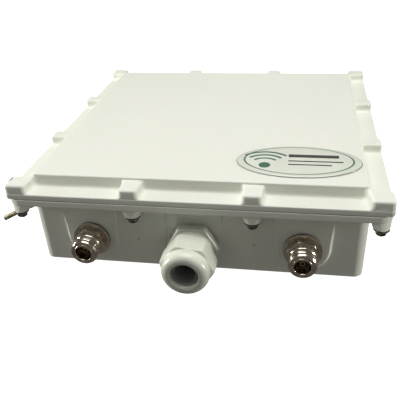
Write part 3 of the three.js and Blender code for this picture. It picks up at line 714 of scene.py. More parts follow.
def raised_part():
    """The raised panel and the blocks over the screws, as one solid with rounded edges."""
    steps = 5
    corners, kinds = lid_corners()
    quarter = [math.pi / 2 * i / 6 for i in range(7)]
    heights = [LEDGE_Z - 1.2] + [LEDGE_Z + BLOCK_FOOT_R * (1 - math.cos(a)) for a in quarter]
    heights += [BLOCK_TOP - BLOCK_EDGE_R * (1 - math.sin(a)) for a in quarter[1:]]
    points = []
    for z in heights:
        edge = cove(BLOCK_TOP - z, BLOCK_EDGE_R)
        offsets = {
            "wall": wall_offset(z), "outer": -edge, "flank": cove(z - LEDGE_Z, BLOCK_FOOT_R) - edge,
            "corner flank": cove(z - LEDGE_Z, CORNER_FOOT_R) - edge,
        }
        outline = rounded_polygon(corners, [offsets[kind] for kind in kinds], steps)
        points += [(p.x, p.y, z) for p in outline]
    count = len(corners) * (steps + 1)
    faces = [tuple(range(count))]
    for r in range(len(heights) - 1):
        faces += side_faces(r * count, (r + 1) * count, count)
    rim = (len(heights) - 1) * count
    # The panel's own outline above the blocks: its corner arcs, and the places where the blocks end.
    shoulder = LID_TOP - PANEL_EDGE_R
    upper = [(wall_offset(z), z) for z in (BLOCK_TOP, shoulder)]
    upper += [(wall_offset(shoulder) - PANEL_EDGE_R + inward, shoulder + up)
              for inward, up in arc((0, 0), PANEL_EDGE_R, 0, 90, 6)[1:]]
    per_side = len(corners) // 4
    ends = [0, per_side - 9, per_side - 8, per_side - 5, per_side - 4, per_side - 1]
    panel = square_corners(PANEL_HALF, PANEL_CORNER_R)
    previous = None
    for row, (offset, z) in enumerate(upper):
        arcs = rounded_polygon(panel, offset, steps)
        ring = []
        for side in range(4):
            turn = Matrix.Rotation(side * math.pi / 2, 2)
            marks = []
            for n, corner in enumerate(ends):
                index = rim + (side * per_side + corner) * (steps + 1) + (0 if n % 2 == 0 else steps)
                if row:
                    along = turn.inverted() @ Vector(points[index][:2])
                    wall = -PANEL_HALF - offset
                    spot = (wall, along.y) if n == 0 else (along.x, wall)
                    points.append((*(turn @ Vector(spot)), z))
                    index = len(points) - 1
                marks.append(index)
            curve = []
            for p in arcs[side * (steps + 1):(side + 1) * (steps + 1)]:
                points.append((p.x, p.y, z))
                curve.append(len(points) - 1)
            ring.append((marks, curve))
        flat_ring = [i for marks, curve in ring for i in (marks[0], *curve, *marks[1:])]
        if row:
            faces += [
                (a, b, d, c) for a, b, c, d in zip(
                    previous, previous[1:] + previous[:1], flat_ring, flat_ring[1:] + flat_ring[:1])
            ]
        else:
            faces += block_tops(rim, steps, per_side, [curve for marks, curve in ring])
        previous = flat_ring
    faces.append(tuple(previous))
    return mesh_object("raised_part", points, faces)


def block_tops(rim, steps, per_side, curves):
    """The flat tops of the blocks: one by each corner of the panel, and two along each side."""
    tops = []
    for side, curve in enumerate(curves):
        start = rim + side * per_side * (steps + 1)
        corner_block = list(range(start, start + 5 * (steps + 1)))
        tops.append(tuple(corner_block + list(reversed(curve))))
        for first in (5, 9):
            tops.append(tuple(range(start + first * (steps + 1), start + (first + 4) * (steps + 1))))
    return tops


def make_lid():
    rim_round = arc((LID_HALF - 0.8, LEDGE_Z - 0.8), 0.8, 0, 90, 4)
    plate = square_loft("lid_shell", [
        (LID_HALF - 0.5, LID_FOOT_Z), (LID_HALF - 0.15, LID_FOOT_Z + 0.15),
        (LID_HALF, LID_FOOT_Z + 0.5), *rim_round,
    ], LEDGE_CORNER_R)
    raised = raised_part()
    prism = square_loft("prism", [(LID_HALF - 0.15, 40), (LID_HALF - 0.15, 70)], LEDGE_CORNER_R)
    boolean(raised, "INTERSECT", prism)
    boolean(plate, "UNION", raised)
    roof = LID_TOP - LID_THICK
    cavity = square_loft("cavity", [
        (CAVITY_HALF - 1, 40), (CAVITY_HALF - 1.9, roof - 1.5),
        *[(CAVITY_HALF - 1.9 - 1.5 + x, roof - 1.5 + z) for x, z in arc((0, 0), 1.5, 0, 90, 4)[1:]],
    ], CAVITY_CORNER_R)
    boolean(plate, "DIFFERENCE", cavity)
    tap = turned("tap", [(SCREW_HOLE_R, 40), (SCREW_HOLE_R, 55.7)], 24)
    boolean(plate, "DIFFERENCE", *one_for_each_screw(tap))
    finished(plate, "lid", "cast_paint", "lid")


make_lid()


# ---------------------------------------------------------------- casing


def make_casing():
    fillet = 1.5
    shell = square_loft("casing", [
        *[(WALL_FOOT_HALF - FOOT_ROUND + x, FOOT_ROUND + z) for x, z in arc((0, 0), FOOT_ROUND, -90, 0, 5)],
        (WALL_TOP_HALF, FLANGE_Z - fillet),
        *[(WALL_TOP_HALF + fillet + x, FLANGE_Z - fillet + z)
          for x, z in arc((0, 0), fillet, 180, 90, 4)[1:]],
        (WALL_TOP_HALF + fillet, FLANGE_Z + 1),
    ], WALL_CORNER_R + fillet)
    flange = square_loft("flange", [
        *[(FLANGE_HALF - 0.8 + x, FLANGE_Z + 0.8 + z) for x, z in arc((0, 0), 0.8, -90, 0, 3)],
        *[(FLANGE_HALF - 0.3 + x, SEAM_Z - 0.3 + z) for x, z in arc((0, 0), 0.3, 0, 90, 3)],
    ], FLANGE_CORNER_R)
    boolean(shell, "UNION", flange)
    boss_profile = [(BOSS_R - 0.4 - BOSS_ROUND + x, BOSS_FOOT_Z + BOSS_ROUND + z)
                    for x, z in arc((0, 0), BOSS_ROUND, -90, 0, 6)]
    boss_profile += arc((BOSS_R + BOSS_FILLET, FLANGE_Z - BOSS_FILLET), BOSS_FILLET, 180, 90, 6)
    boss_profile += [(BOSS_R + BOSS_FILLET, FLANGE_Z + 1.5)]
    bosses = joined("bosses", one_for_each_screw(turned("boss", boss_profile, 40)))
    trim = square_loft("trim", [(FLANGE_HALF - 0.4, 20), (FLANGE_HALF - 0.4, SEAM_Z - 1)], FLANGE_CORNER_R)
    boolean(bosses, "INTERSECT", trim)
    boolean(shell, "UNION", bosses)
    boolean(shell, "UNION", *[port_pad(x) for x in (-ANTENNA_X, 0, ANTENNA_X)])
    cavity = square_loft("cavity", [
        *[(CAVITY_HALF - 0.8 - 1.5 + x, FLOOR + 1.5 + z) for x, z in arc((0, 0), 1.5, -90, 0, 4)],
        (CAVITY_HALF, SEAM_Z + 1),
    ], CAVITY_CORNER_R)
    boolean(shell, "DIFFERENCE", cavity)
    groove = square_loft("groove", [(GROOVE_OUT, SEAM_Z - GROOVE_DEPTH), (GROOVE_OUT, SEAM_Z + 1)], 7.0)
    island = square_loft("island", [(GROOVE_IN, SEAM_Z - 4), (GROOVE_IN, SEAM_Z + 2)], CAVITY_CORNER_R)
    boolean(groove, "DIFFERENCE", island)
    boolean(shell, "DIFFERENCE", groove)
    boolean(shell, "UNION", *inside_posts())
    boolean(shell, "DIFFERENCE", *casing_holes())
    finished(shell, "housing", "cast_paint", "base_housing")


def port_pad(x):
    """A shallow U-shaped pad on the connector wall, with a soft edge, open at the flange."""
    top = FLANGE_Z + 0.6
    corners = [(PAD_TOP_HALF, top, 0.1), (-PAD_TOP_HALF, top, 0.1)]
    steps = 20
    turns = [math.pi * i / steps for i in range(steps + 1)]
    corners += [(-PAD_ARC_R * math.cos(a), PAD_ARC_Z - PAD_ARC_R * math.sin(a), 0.1) for a in turns]
    levels = [(0.8, WALL_FOOT_HALF - 2), (0.8, WALL_FOOT_HALF + 0.3), (0.3, WALL_FOOT_HALF + 0.6)]
    levels += [(offset - 1.1, depth) for offset, depth in arc((0, PAD_FACE - 1.1), 1.1, 0, 90, 4)]
    rings = []
    for offset, depth in levels:
        ring = rounded_polygon(corners, offset, 1)
        rings.append([(p.x, min(p.y, top), depth) for p in ring])
    pad = skin("pad", rings)
    return moved(pad, FACE_FRONT, Matrix.Translation((x, 0, 0)))


def at_earth_screw(obj):
    """Turns a Z-axis shape so that +Z points out of the left wall, and puts it on the earth screw."""
    spot = middle_of("earth_screw")
    return moved(obj, FACE_LEFT, Matrix.Translation((0, spot.y, spot.z)))


def inside_posts():
    """The casing's posts under the board, its bracket bosses and its earth boss."""
    board_foot = box_mm("main_board")[0].z - 0.3
    slim = [(4.3, FLOOR - 1), (4.3, FLOOR), (3.6, FLOOR + 0.8), (3.5, board_foot)]
    stout = [(10, FLOOR - 1), (10, FLOOR), (9.1, FLOOR + 1), (9, 11.1), (8.6, 11.5)]
    posts = []
    for i in CORNERS:
        posts.append(stood_at(turned("post", slim, 24), f"board_screw_{i}"))
        posts.append(stood_at(turned("post", stout, 32), f"bracket_insert_{i}"))
    posts.append(at_earth_screw(turned("post", [(6, 83), (6, 93.5)], 32)))
    return posts


def casing_holes():
    """Every hole in the casing, and the two small pits between the ports."""
    holes = one_for_each_screw(turned("hole", [(SCREW_HOLE_R, 30), (SCREW_HOLE_R, 60)], 24))
    counterbore = [(7.0, -1), (7.0, 0), (6.2, 0.6), (6.2, 9.7)]
    for i in CORNERS:
        holes.append(stood_at(turned("hole", [(1.8, FLOOR + 1), (1.8, 20)], 20), f"board_screw_{i}"))
        holes.append(stood_at(turned("hole", counterbore, 40), f"bracket_insert_{i}"))
    for x, radius in ((-ANTENNA_X, 8.24), (0, 11.5), (ANTENNA_X, 8.24)):
        holes.append(on_port(turned("hole", [(radius, 80), (radius, 110)], 48), x))
    holes.append(at_earth_screw(turned("hole", [(2.8, 85), (2.8, 110)], 24)))
    cone = [(0.6, WALL_FOOT_HALF - 1.4), (0.8, WALL_FOOT_HALF - 0.2), (1.3, WALL_FOOT_HALF + 0.6)]
    for x in (-PIT_X, PIT_X):
        holes.append(moved(turned("pit", cone, 16), FACE_FRONT, Matrix.Translation((x, 0, PIT_Z))))
    return holes


make_casing()


# ---------------------------------------------------------------- turned and hexagonal parts


def hexagon(across, limit=1e3):
    """The radius of a hexagon of that width across its flats, but no more than the limit."""
    return lambda a: min(across / 2 / math.cos(a % (math.pi / 3) - math.pi / 6), limit)


def thread_rows(start, end, pitch, outer, depth, per_turn=6):
    """Rows of a right-hand thread, which fades out at both ends."""
    rows = math.ceil((end - start) / pitch * per_turn)
    made = []
    for row in range(rows + 1):
        z = start + (end - start) * row / rows
        fade = min(1.0, (z - start) / pitch, (end - z) / pitch)

        def radius(a, z=z, fade=fade):
            valley = abs(2 * ((z / pitch - a / math.tau) % 1) - 1)
            return outer - depth * fade * min(1.0, max(0.0, 1.5 * valley - 0.25))

        made.append((radius, z))
    return made


def lid_screw_mesh():
    """A hexagon-head screw with its washer and a thread, head down."""
    low, high = box_mm(SCREW_NODES[0])
    head_low, tip = low.z, high.z
    seat = head_low + 3.9
    width, washer = 5.5, 4.4
    corner = width / math.sqrt(3)
    rows = [(1.0, head_low + 0.15), (1.4, head_low + 0.03), (2.0, head_low)]
    rows += [(hexagon(width, 2.1 + (corner - 2.1) * (i / 6) ** 0.9), head_low + 0.02 + 1.1 * (i / 6) ** 1.2)
             for i in range(7)]
    rows += [(hexagon(width), seat - 0.85), (hexagon(width, corner - 0.15), seat - 0.7)]
    rows += [(washer - 0.2, seat - 0.68), (washer, seat - 0.5), (washer, seat - 0.1)]
    rows += [(washer - 0.1, seat), (1.5, seat)]
    rows += thread_rows(seat + 0.3, tip - 0.7, 0.5, 1.5, 0.27)
    rows += [(1.35, tip - 0.4), (1.0, tip)]
    return turned("lid_screw", rows, 24)


def make_lid_screws():
    pattern = lid_screw_mesh()
    for i, node in enumerate(SCREW_NODES):
        screw = copy_at(pattern, (0, 0, 0))
        moved(screw, Matrix.Rotation(random.Random(i).uniform(0, 1), 4, "Z"))
        screw.name = node + "_look"
        finished(stood_at(screw, node), node, "black_steel", node)
    drop(pattern)


def square_ring(name, section, radius):
    """A closed band round the casing: section is a loop of (half width, z)."""
    widest = max(half for half, z in section)
    corners = square_corners(widest, radius)
    return skin(name, [
        [(p.x, p.y, z) for p in rounded_polygon(corners, half - widest, 8)] for half, z in section
    ], closed=True)


def make_gasket():
    low, high = box_mm("lid_gasket")
    half_wide = (GROOVE_OUT - GROOVE_IN) / 2 - 0.3
    half_tall = (high.z - low.z) / 2
    centre = (high.x - half_wide, (high.z + low.z) / 2)
    section = []
    for i in range(16):
        a = math.tau * i / 16
        x, z = math.cos(a), math.sin(a)
        section.append((centre[0] + half_wide * math.copysign(abs(x) ** 0.7, x),
                        centre[1] + half_tall * math.copysign(abs(z) ** 0.7, z)))
    gasket = square_ring("lid_gasket_look", section, 6.7)
    finished(gasket, "housing", "seal_silicone", "lid_gasket", 50)


def make_bracket_inserts():
    for i in CORNERS:
        node = f"bracket_insert_{i}"
        low, high = box_mm(node)
        outer, bore = (high.x - low.x) / 2, 3.4
        rows = [(outer - 0.5, high.z), (outer, high.z - 0.4), (outer, low.z + 0.4), (outer - 0.4, low.z)]
        rows += [(bore + 0.7, low.z), (bore + 0.1, low.z + 0.6)]
        rows += thread_rows(low.z + 0.7, high.z - 0.4, 1.25, bore + 0.55, 0.6)
        rows += [(bore + 0.6, high.z)]
        ring = stood_at(turned("bracket_insert_look", rows, 40, closed=True), node)
        finished(ring, "housing", "bright_zinc", node)


# ---------------------------------------------------------------- antenna sockets

BARREL_R = 7.94
SOCKET_BORE_R = 4.25
SOCKET_TURN = math.radians(-15)
SOCKET_PITCH = 1.058
# The plain barrel between the flats and the thread: how far in from its full radius, and the depth.
BARREL_RINGS = [
    (0.9, 105.6), (0.9, 105.9), (0.3, 106.0), (0.05, 106.3), (0, 106.7), (0.08, 107.3), (0.3, 107.9),
    (0.65, 108.4), (1.1, 108.8), (1.25, 109.1), (1.25, 109.6), (0.9, 109.75), (0.3, 109.95), (0.05, 110.3),
]
# The lip round the mouth: how far out from the bore, and how far back from the end.
MOUTH_LIP = [(1.3, 0.45), (1.15, 0.2), (0.95, 0.03), (0.7, 0), (0.45, 0.08), (0.25, 0.35), (0.2, 0.9)]


def socket_body(side):
    """The threaded barrel, its flange and its spanner flats, from the inside end to the mouth."""
    node = f"antenna_socket_{side}"
    rear, mouth = depths(node)
    b, neck = BARREL_R, 16.6
    flange = PAD_FACE + 2.8
    rows = [(2.6, rear), (5.7, rear), (6.0, rear + 0.3), (6.0, 87.0), (b - 0.5, 87.1)]
    rows += thread_rows(87.3, flange - 3.4, SOCKET_PITCH, b, 0.4)
    rows += [(b, flange - 1.5), (10.75, flange - 1.5), (11.0, flange - 1.25), (11.0, flange - 0.4)]
    rows += [(10.88, flange - 0.12), (10.6, flange)]
    rows += [(hexagon(neck, 9.3), flange), (hexagon(neck, 9.2), flange + 0.3), (hexagon(neck, 9.2), 104.4)]
    rows += [(hexagon(neck - 0.4, 8.8), 104.9), (hexagon(neck - 1.4, 8.1), 105.2)]
    rows += [(b - inset, depth) for inset, depth in BARREL_RINGS]
    rows += thread_rows(110.5, 113.9, SOCKET_PITCH, b, 0.22)
    rows += [(b - 0.15, 114.1), (b - 0.4, 114.7), (b - 0.75, mouth - 0.4), (b - 1.1, mouth - 0.3)]
    rows += [(SOCKET_BORE_R + out, mouth - back) for out, back in MOUTH_LIP]
    rows += [(SOCKET_BORE_R, 104.3), (2.6, 104.3)]
    body = turned(node + "_look", rows, 72, closed=True)
    return node, on_port(moved(body, Matrix.Rotation(SOCKET_TURN, 4, "Z")), middle_of(node).x)


def socket_pin(side):
    """The centre contact: a tube with four slots at its mouth."""
    node = f"socket_contact_{side}"
    rear, mouth = depths(node)
    rows = [(0.8, rear), (1.0, rear + 0.2), (1.0, mouth - 5.2), (1.8, mouth - 4.9), (1.8, mouth - 0.3)]
    rows += [(1.6, mouth), (1.1, mouth), (0.85, mouth - 0.4), (0.8, mouth - 4)]
    pin = turned(node + "_look", rows, 32)
    for x, y in ((3, 0.14), (0.14, 3)):
        boolean(pin, "DIFFERENCE", block_mesh("slot", (-x, -y, mouth - 3.2), (x, y, mouth + 1)))
    return node, on_port(pin, middle_of(node).x)


def socket_insulator(side):
    node = f"socket_insulator_{side}"
    rear, front = depths(node)
    rows = [(1.3, rear), (2.3, rear), (2.3, 104.6), (2.9, 104.65), (3.1, 104.9), (3.1, front - 0.3)]
    rows += [(2.8, front), (2.3, front), (2.1, front - 0.3), (2.1, 106.5), (1.3, 106.5)]
    return node, on_port(turned(node + "_look", rows, 40, closed=True), middle_of(node).x)


def flat_ring(node, x, inner, outer, soft):
    """A washer with soft edges in place of a ring-shaped node on the connector wall."""
    rear, front = depths(node)
    rows = [(inner, rear + soft), (inner + soft, rear), (outer - soft, rear), (outer, rear + soft)]
    rows += [(outer, front - soft), (outer - soft, front), (inner + soft, front), (inner, front - soft)]
    return on_port(turned(node + "_look", rows, 64, closed=True), x)


def hexagon_nut(node, across, bore, pitch, turn, x):
    """A chamfered nut with a thread, behind the connector wall."""
    rear, front = depths(node)
    corner = across / math.sqrt(3)
    trims = [(corner - 0.9 + 0.28 * i, 0.05 + 0.14 * i * i / 3) for i in range(4)]
    rows = [(bore + 0.7, rear)] + [(hexagon(across, limit), rear + z) for limit, z in trims]
    rows += [(hexagon(across, limit), front - z) for limit, z in reversed(trims)]
    rows += [(bore + 0.7, front), (bore + 0.3, front - 0.4)]
    back = thread_rows(rear + 0.4, front - 0.4, pitch, bore + 0.3, 0.3)
    rows += list(reversed(back))
    nut = turned(node + "_look", rows, 72, closed=True)
    return on_port(moved(nut, Matrix.Rotation(turn, 4, "Z")), x)


SOCKET_PIECES = ((socket_body, "nickel"), (socket_pin, "gold_plate"), (socket_insulator, "white_fluoro"))


def make_antenna_sockets():
    for side, turn in (("left", 0.12), ("right", 0.4)):
        x = middle_of(f"antenna_socket_{side}").x
        for build, slot in SOCKET_PIECES:
            node, piece = build(side)
            finished(piece, "housing", slot, node)
        seal = flat_ring(f"socket_seal_{side}", x, BARREL_R + 0.3, 11.0, 0.3)
        finished(seal, "housing", "rubber", f"socket_seal_{side}")
        nut = hexagon_nut(f"socket_nut_{side}", 19, BARREL_R, SOCKET_PITCH, turn, x)
        finished(nut, "housing", "nickel", f"socket_nut_{side}")


# ---------------------------------------------------------------- cable gland

GLAND_AF = 27.0
GLAND_CORNER = GLAND_AF / math.sqrt(3)
GLAND_THREAD_R = 11.2
GLAND_PITCH = 1.5
CAP_TURN = math.radians(-8)
NOSE_POWER = 0.78


def make_gland_body():
    seat, hex_end, neck = PAD_FACE + 1.5, 104.7, GLAND_THREAD_R + 0.6
    rows = [(8.2, 80), (GLAND_THREAD_R - 0.6, 80)]
    rows += thread_rows(80.3, seat - 1.7, GLAND_PITCH, GLAND_THREAD_R, 0.6)
    rows += [(GLAND_THREAD_R, seat - 0.1), (GLAND_CORNER - 2.2, seat)]
    flats = [(0, 0.9, seat + 0.05), (0, 0.35, seat + 0.5), (0, 0.2, seat + 0.8), (0, 0.2, hex_end - 1.5)]
    flats += [(0.3, 0.6, hex_end - 0.75), (1.5, 1.5, hex_end - 0.05), (1.9, 1.8, hex_end)]
    rows += [(hexagon(GLAND_AF - less, GLAND_CORNER - trim), depth) for less, trim, depth in flats]
    rows += [(neck + 0.9, hex_end), (neck + 0.25, hex_end + 0.2), (neck, hex_end + 0.7)]
    rows += thread_rows(hex_end + 0.9, 116.8, GLAND_PITCH, neck, 0.55)
    rows += [(neck - 0.1, 117.1), (neck - 0.6, 117.6), (9.9, 117.6), (9.9, 107.5), (8.2, 106)]
    body = on_port(turned("gland_body_look", rows, 120, closed=True), 0)
    finished(body, "housing", "gland_nylon", "gland_body")


def cap_dome():
    """The cap past its flats, as (radius, depth): a shoulder, a shallow groove and a round nose."""
    shoulder = [(15.45, 121.4), (15.3, 122.0), (15.0, 122.5), (14.6, 122.85), (14.2, 123.05)]
    shoulder += [(13.8, 123.2), (13.45, 123.35), (13.28, 123.6), (13.26, 123.9), (13.34, 124.25)]
    shoulder += [(13.42, 124.6)]
    nose = []
    for i in range(16):
        turn = math.radians(6 + 84 * i / 15)
        out, ahead = math.cos(turn) ** NOSE_POWER, math.sin(turn) ** NOSE_POWER
        nose.append((8.9 + 4.6 * out, 124.3 + 6.2 * ahead))
    return shoulder + nose


def make_gland_cap():
    rear = depths("gland_cap")[0]
    rows = [(hexagon(GLAND_AF - 0.5, 14.5), rear), (hexagon(GLAND_AF - 0.1, 14.95), rear + 0.2)]
    rows += [(hexagon(GLAND_AF, 15.35), rear + 0.7), (hexagon(GLAND_AF, 15.5), rear + 1.2)]
    rows += [(hexagon(GLAND_AF, 15.5), 114.0), (hexagon(GLAND_AF, 15.5), 120.0)]
    rows += [(hexagon(GLAND_AF, r), d) for r, d in cap_dome()]
    rows += [(8.35, 130.42), (7.95, 130.1), (7.75, 129.6), (7.5, 129.2), (7.32, 128.8), (7.3, 127.6)]
    rows += [(9.6, 124.5), (11.9, 121.2)]
    rows += list(reversed(thread_rows(rear + 0.5, 121.0, GLAND_PITCH, 12.65, 0.5)))
    rows += [(12.9, rear)]
    cap = turned("gland_cap_look", rows, 144, closed=True)
    on_port(moved(cap, Matrix.Rotation(CAP_TURN, 4, "Z")), 0)
    finished(cap, "gland_cap", "gland_nylon", "gland_cap", 28)


def make_gland_seal():
    """A rubber sleeve with fine ribs round its mouth."""

    def ribbed(radius, depth):
        return lambda a: radius - depth * max(0.0, math.cos(30 * a)) ** 2

    rows = [(5.7, 113), (8.0, 113), (8.0, 124), (7.6, 125.4), (7.1, 126.4), (7.0, 127.2)]
    rows += [(7.0, 128.2), (6.9, 128.5), (6.7, 128.6)]
    rows += [(ribbed(6.5, 0.1), 128.4), (ribbed(6.3, 0.2), 127.6), (ribbed(5.9, 0.3), 125.4)]
    rows += [(ribbed(5.7, 0.3), 122), (ribbed(5.7, 0.3), 115)]
    seal = on_port(turned("gland_seal_look", rows, 180, closed=True), 0)
    # The sleeve takes the lighter copy of the rubber, whose colour is painted light for the dim mouth.
    finished(seal, "gland_clamp", "rubber", "gland_seal", material="rubber_painted_light")


def make_gland():
    make_gland_body()
    make_gland_cap()
    make_gland_seal()
    face_seal = flat_ring("gland_face_seal", 0, GLAND_THREAD_R + 0.3, 12.9, 0.3)
    finished(face_seal, "housing", "rubber", "gland_face_seal")
    nut = hexagon_nut("gland_lock_nut", GLAND_AF, GLAND_THREAD_R, GLAND_PITCH, 0.3, 0)
    finished(nut, "housing", "gland_nylon", "gland_lock_nut")
    claws = from_node("gland_claws_look", "gland_claws", 0.15)
    finished(claws, "gland_clamp", "gland_nylon", "gland_claws")


# ---------------------------------------------------------------- earth point

EARTH_Y = middle_of("earth_screw").y
EARTH_Z = middle_of("earth_screw").z
LUG_FACE = WALL_TOP_HALF + 1.3
LUG_TIP = Vector((-119.9, -95.0, 26.6))
LUG_DROP = 0.4
EARTH_HEAD_AF = 8


def make_earth_screw():
    low, high = box_mm("earth_screw")
    tip, top = -high.x, -low.x
    seat = top - 3.5
    corner = EARTH_HEAD_AF / math.sqrt(3)
    rows = [(1.8, tip)] + thread_rows(tip + 0.5, seat - 1.2, 0.8, 2.5, 0.4)
    rows += [(2.5, seat), (4.5, seat), (4.7, seat + 0.2), (4.65, seat + 0.55), (4.3, seat + 0.85)]
    rows += [(hexagon(EARTH_HEAD_AF, corner - 0.1), seat + 0.9), (hexagon(EARTH_HEAD_AF), top - 0.75)]
    rows += [(hexagon(EARTH_HEAD_AF, corner - 0.18 * i), top - 0.75 + 0.15 * i) for i in range(1, 5)]
    rows += [(hexagon(EARTH_HEAD_AF, 3.55), top - 0.02), (3.2, top)]
    screw = turned("earth_screw_look", rows, 48)
    boolean(screw, "DIFFERENCE", block_mesh("slot", (-6, -0.5, top - 0.9), (6, 0.5, top + 1)))
    finished(at_earth_screw(screw), "earth_screw", "bright_zinc", "earth_screw")
    washer = from_node("earth_star_washer_look", "earth_star_washer", 0.1)
    finished(washer, "housing", "bright_zinc", "earth_star_washer")


def lug_section(centre, along, wide, thick):
    """One ring of the lug's tongue or barrel, across the direction along."""
    out = along.cross(Vector((0, 0, 1))).normalized()
    up = out.cross(along)
    flatness = thick / wide
    power = 0.45 + 0.55 * min(1.0, flatness * flatness)
    ring = []
    for i in range(24):
        c, s = math.cos(math.tau * i / 24), math.sin(math.tau * i / 24)
        ring.append(centre + up * wide * math.copysign(abs(c) ** power, c)
                    + out * thick * math.copysign(abs(s) ** power, s))
    return ring


def make_earth_lug():
    """A ring terminal: an eye, a flat tongue that bends out, and a crimped barrel with an open end."""
    bend = Vector((-LUG_FACE - 0.5, -75.0, EARTH_Z - LUG_DROP))
    reach = LUG_TIP - bend
    length = reach.length
    reach.normalize()
    straight = (bend - Vector((-LUG_FACE - 0.5, EARTH_Y, EARTH_Z))).normalized()
    rings = [lug_section(bend - straight * back, straight, wide, 0.5)
             for back, wide in ((7.6, 2.9), (6.2, 2.6), (4.5, 2.2), (2, 2.0))]
    rings.append(lug_section(bend - straight * 0.6, (straight * 3 + reach).normalized(), 2.0, 0.55))
    rings.append(lug_section(bend + reach * 0.8, (straight + reach * 3).normalized(), 1.9, 0.8))
    along = [(2.4, 1.75, 1.3), (4, 1.6, 1.6)]
    for crimp in (0.36, 0.60):
        middle = crimp * length
        along += [(middle - 2, 1.6, 1.6), (middle - 1.1, 1.72, 1.22)]
        along += [(middle + 1.1, 1.72, 1.22), (middle + 2, 1.6, 1.6)]
    along += [(length - 3, 1.6, 1.6), (length - 2.6, 1.7, 1.7), (length - 0.25, 1.6, 1.6), (length, 1.4, 1.4)]
    along += [(length, 1.0, 1.0), (length - 0.3, 0.9, 0.9), (length - 8, 0.9, 0.9)]
    rings += [lug_section(bend + reach * d, reach, wide, thick) for d, wide, thick in along]
    barrel = skin("earth_lug_look", rings)
    eye = turned("eye", [(2.8, LUG_FACE + 0.1), (4.85, LUG_FACE), (5, LUG_FACE + 0.15), (5, LUG_FACE + 0.85),
                         (4.85, LUG_FACE + 1), (2.9, LUG_FACE + 1), (2.8, LUG_FACE + 0.9)], 48, closed=True)
    boolean(barrel, "UNION", at_earth_screw(eye))
    finished(barrel, "earth_lug", "yellow_zinc", "earth_lug")


# ---------------------------------------------------------------- badge


def make_badge():
    low, high = box_mm("lid_badge")
    centre, wide, deep = plan_of("lid_badge")
    rings = [(0.25, low.z), (0, low.z + 0.15), (0, low.z + 0.35)]
    rings += [(0.25, low.z + 0.55), (0.8, low.z + 0.75), (1.8, low.z + 0.93), (3.5, low.z + 1.08)]
    rings += [(6, low.z + 1.18), (10, high.z - 0.05), (15, high.z)]
    outline = []
    for inset, z in rings:
        outline.append([(centre.x + (wide - inset) * math.cos(math.tau * i / 96),
                         centre.y + (deep - inset) * math.sin(math.tau * i / 96), z) for i in range(96)])
    badge = skin("lid_badge_look", outline)
    finished(badge, "lid", "badge", "lid_badge", 60)


# ---------------------------------------------------------------- radio board

PLAIN_PARTS = {
    "main_board": ("board_green", 0.15),
    "processor": ("chip_black", 0.12),
    "heat_sink": ("black_anodised", 0.15),
    "memory_chip": ("chip_black", 0.12),
    "network_transformer": ("chip_black", 0.25),
    "power_inductor": ("black_anodised", 0.9),
    "radio_socket": ("chip_black", 0.2),
    "radio_card": ("board_green", 0.12),
    "radio_shield": ("tin_plate", 0.3),
    "ethernet_jack": ("tin_plate", 0.25),
    "lead_plug_left": ("gold_plate", 0.2),
    "lead_plug_right": ("gold_plate", 0.2),
}


def tube(name, route, radius):
    """A smooth round lead through the places of the route."""
    curve = bpy.data.curves.new(name, "CURVE")
    curve.dimensions = "3D"
    curve.bevel_depth = radius
    curve.bevel_resolution = 4
    curve.resolution_u = 10
    curve.use_fill_caps = True
    line = curve.splines.new("BEZIER")
    line.bezier_points.add(len(route) - 1)
    for spot, point in zip(route, line.bezier_points):
        point.co = spot
        point.handle_left_type = point.handle_right_type = "AUTO"
    holder = put_in_scene(name, curve)
    depsgraph = bpy.context.evaluated_depsgraph_get()
    mesh = bpy.data.meshes.new_from_object(holder.evaluated_get(depsgraph))
    drop(holder)
    return put_in_scene(name, mesh)


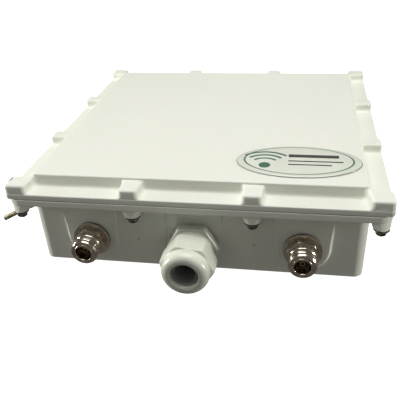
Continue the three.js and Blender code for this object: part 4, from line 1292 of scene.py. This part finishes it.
def make_leads():
    for side, sign in (("left", -1), ("right", 1)):
        x = sign * ANTENNA_X
        low, high = box_mm(f"lead_plug_{side}")
        end = (low.x + high.x) / 2
        top = low.z + 2.0
        far = low.y
        route = [(x, -81.2, PORT_Z), (x, -75, PORT_Z), (x - sign * 2, -66, PORT_Z + 5),
                 ((2 * x + end) / 3, -52, PORT_Z + 10), ((x + 2 * end) / 3, -38, PORT_Z + 10),
                 (end, far - 9.8, top + 2), (end, far - 3.8, top), (end, far - 0.3, top)]
        lead = tube(f"antenna_lead_{side}_look", route, 1.1)
        finished(lead, "housing", "coax_brown", f"antenna_lead_{side}")


def make_board_screws():
    for i in CORNERS:
        node = f"board_screw_{i}"
        low, high = box_mm(node)
        seat = high.z - 2.0
        rows = [(1.0, low.z)] + thread_rows(low.z + 0.3, seat - 0.5, 0.5, 1.5, 0.25)
        rows += [(1.5, seat), (2.7, seat), (2.8, seat + 0.15), (2.8, seat + 1.0)]
        rows += [(2.8 - 1.5 * t * t, seat + 1.0 + t) for t in (0.3, 0.6, 0.8, 0.95)]
        screw = turned(node + "_look", rows + [(1.0, high.z)], 32)
        for turn in (0, math.pi / 2):
            slot = block_mesh("slot", (-1.8, -0.35, high.z - 0.9), (1.8, 0.35, high.z + 1))
            boolean(screw, "DIFFERENCE", moved(slot, Matrix.Rotation(turn + 0.3 * i, 4, "Z")))
        finished(stood_at(screw, node), "housing", "bright_zinc", node)


def make_capacitors():
    for i in (1, 2):
        node = f"capacitor_{i}"
        low, high = box_mm(node)
        r, base, top = (high.x - low.x) / 2, low.z, high.z
        rows = [(r - 0.2, base), (r, base + 0.2), (r, base + 1.0), (r - 0.35, base + 1.4)]
        rows += [(r - 0.35, base + 1.7), (r, base + 2.1), (r, top - 0.5), (r - 0.15, top - 0.15)]
        rows += [(r - 0.5, top), (r - 0.9, top), (r - 1.1, top - 0.15)]
        can = stood_at(turned(node + "_look", rows, 40), node)
        finished(can, "housing", "can_sleeve", node)


def make_board_parts():
    for node, (slot, edge) in PLAIN_PARTS.items():
        finished(from_node(node + "_look", node, edge), "housing", slot, node)
    make_board_screws()
    make_capacitors()
    make_leads()


make_lid_screws()
make_gasket()
make_bracket_inserts()
make_antenna_sockets()
make_gland()
make_earth_screw()
make_earth_lug()
make_badge()
make_board_parts()
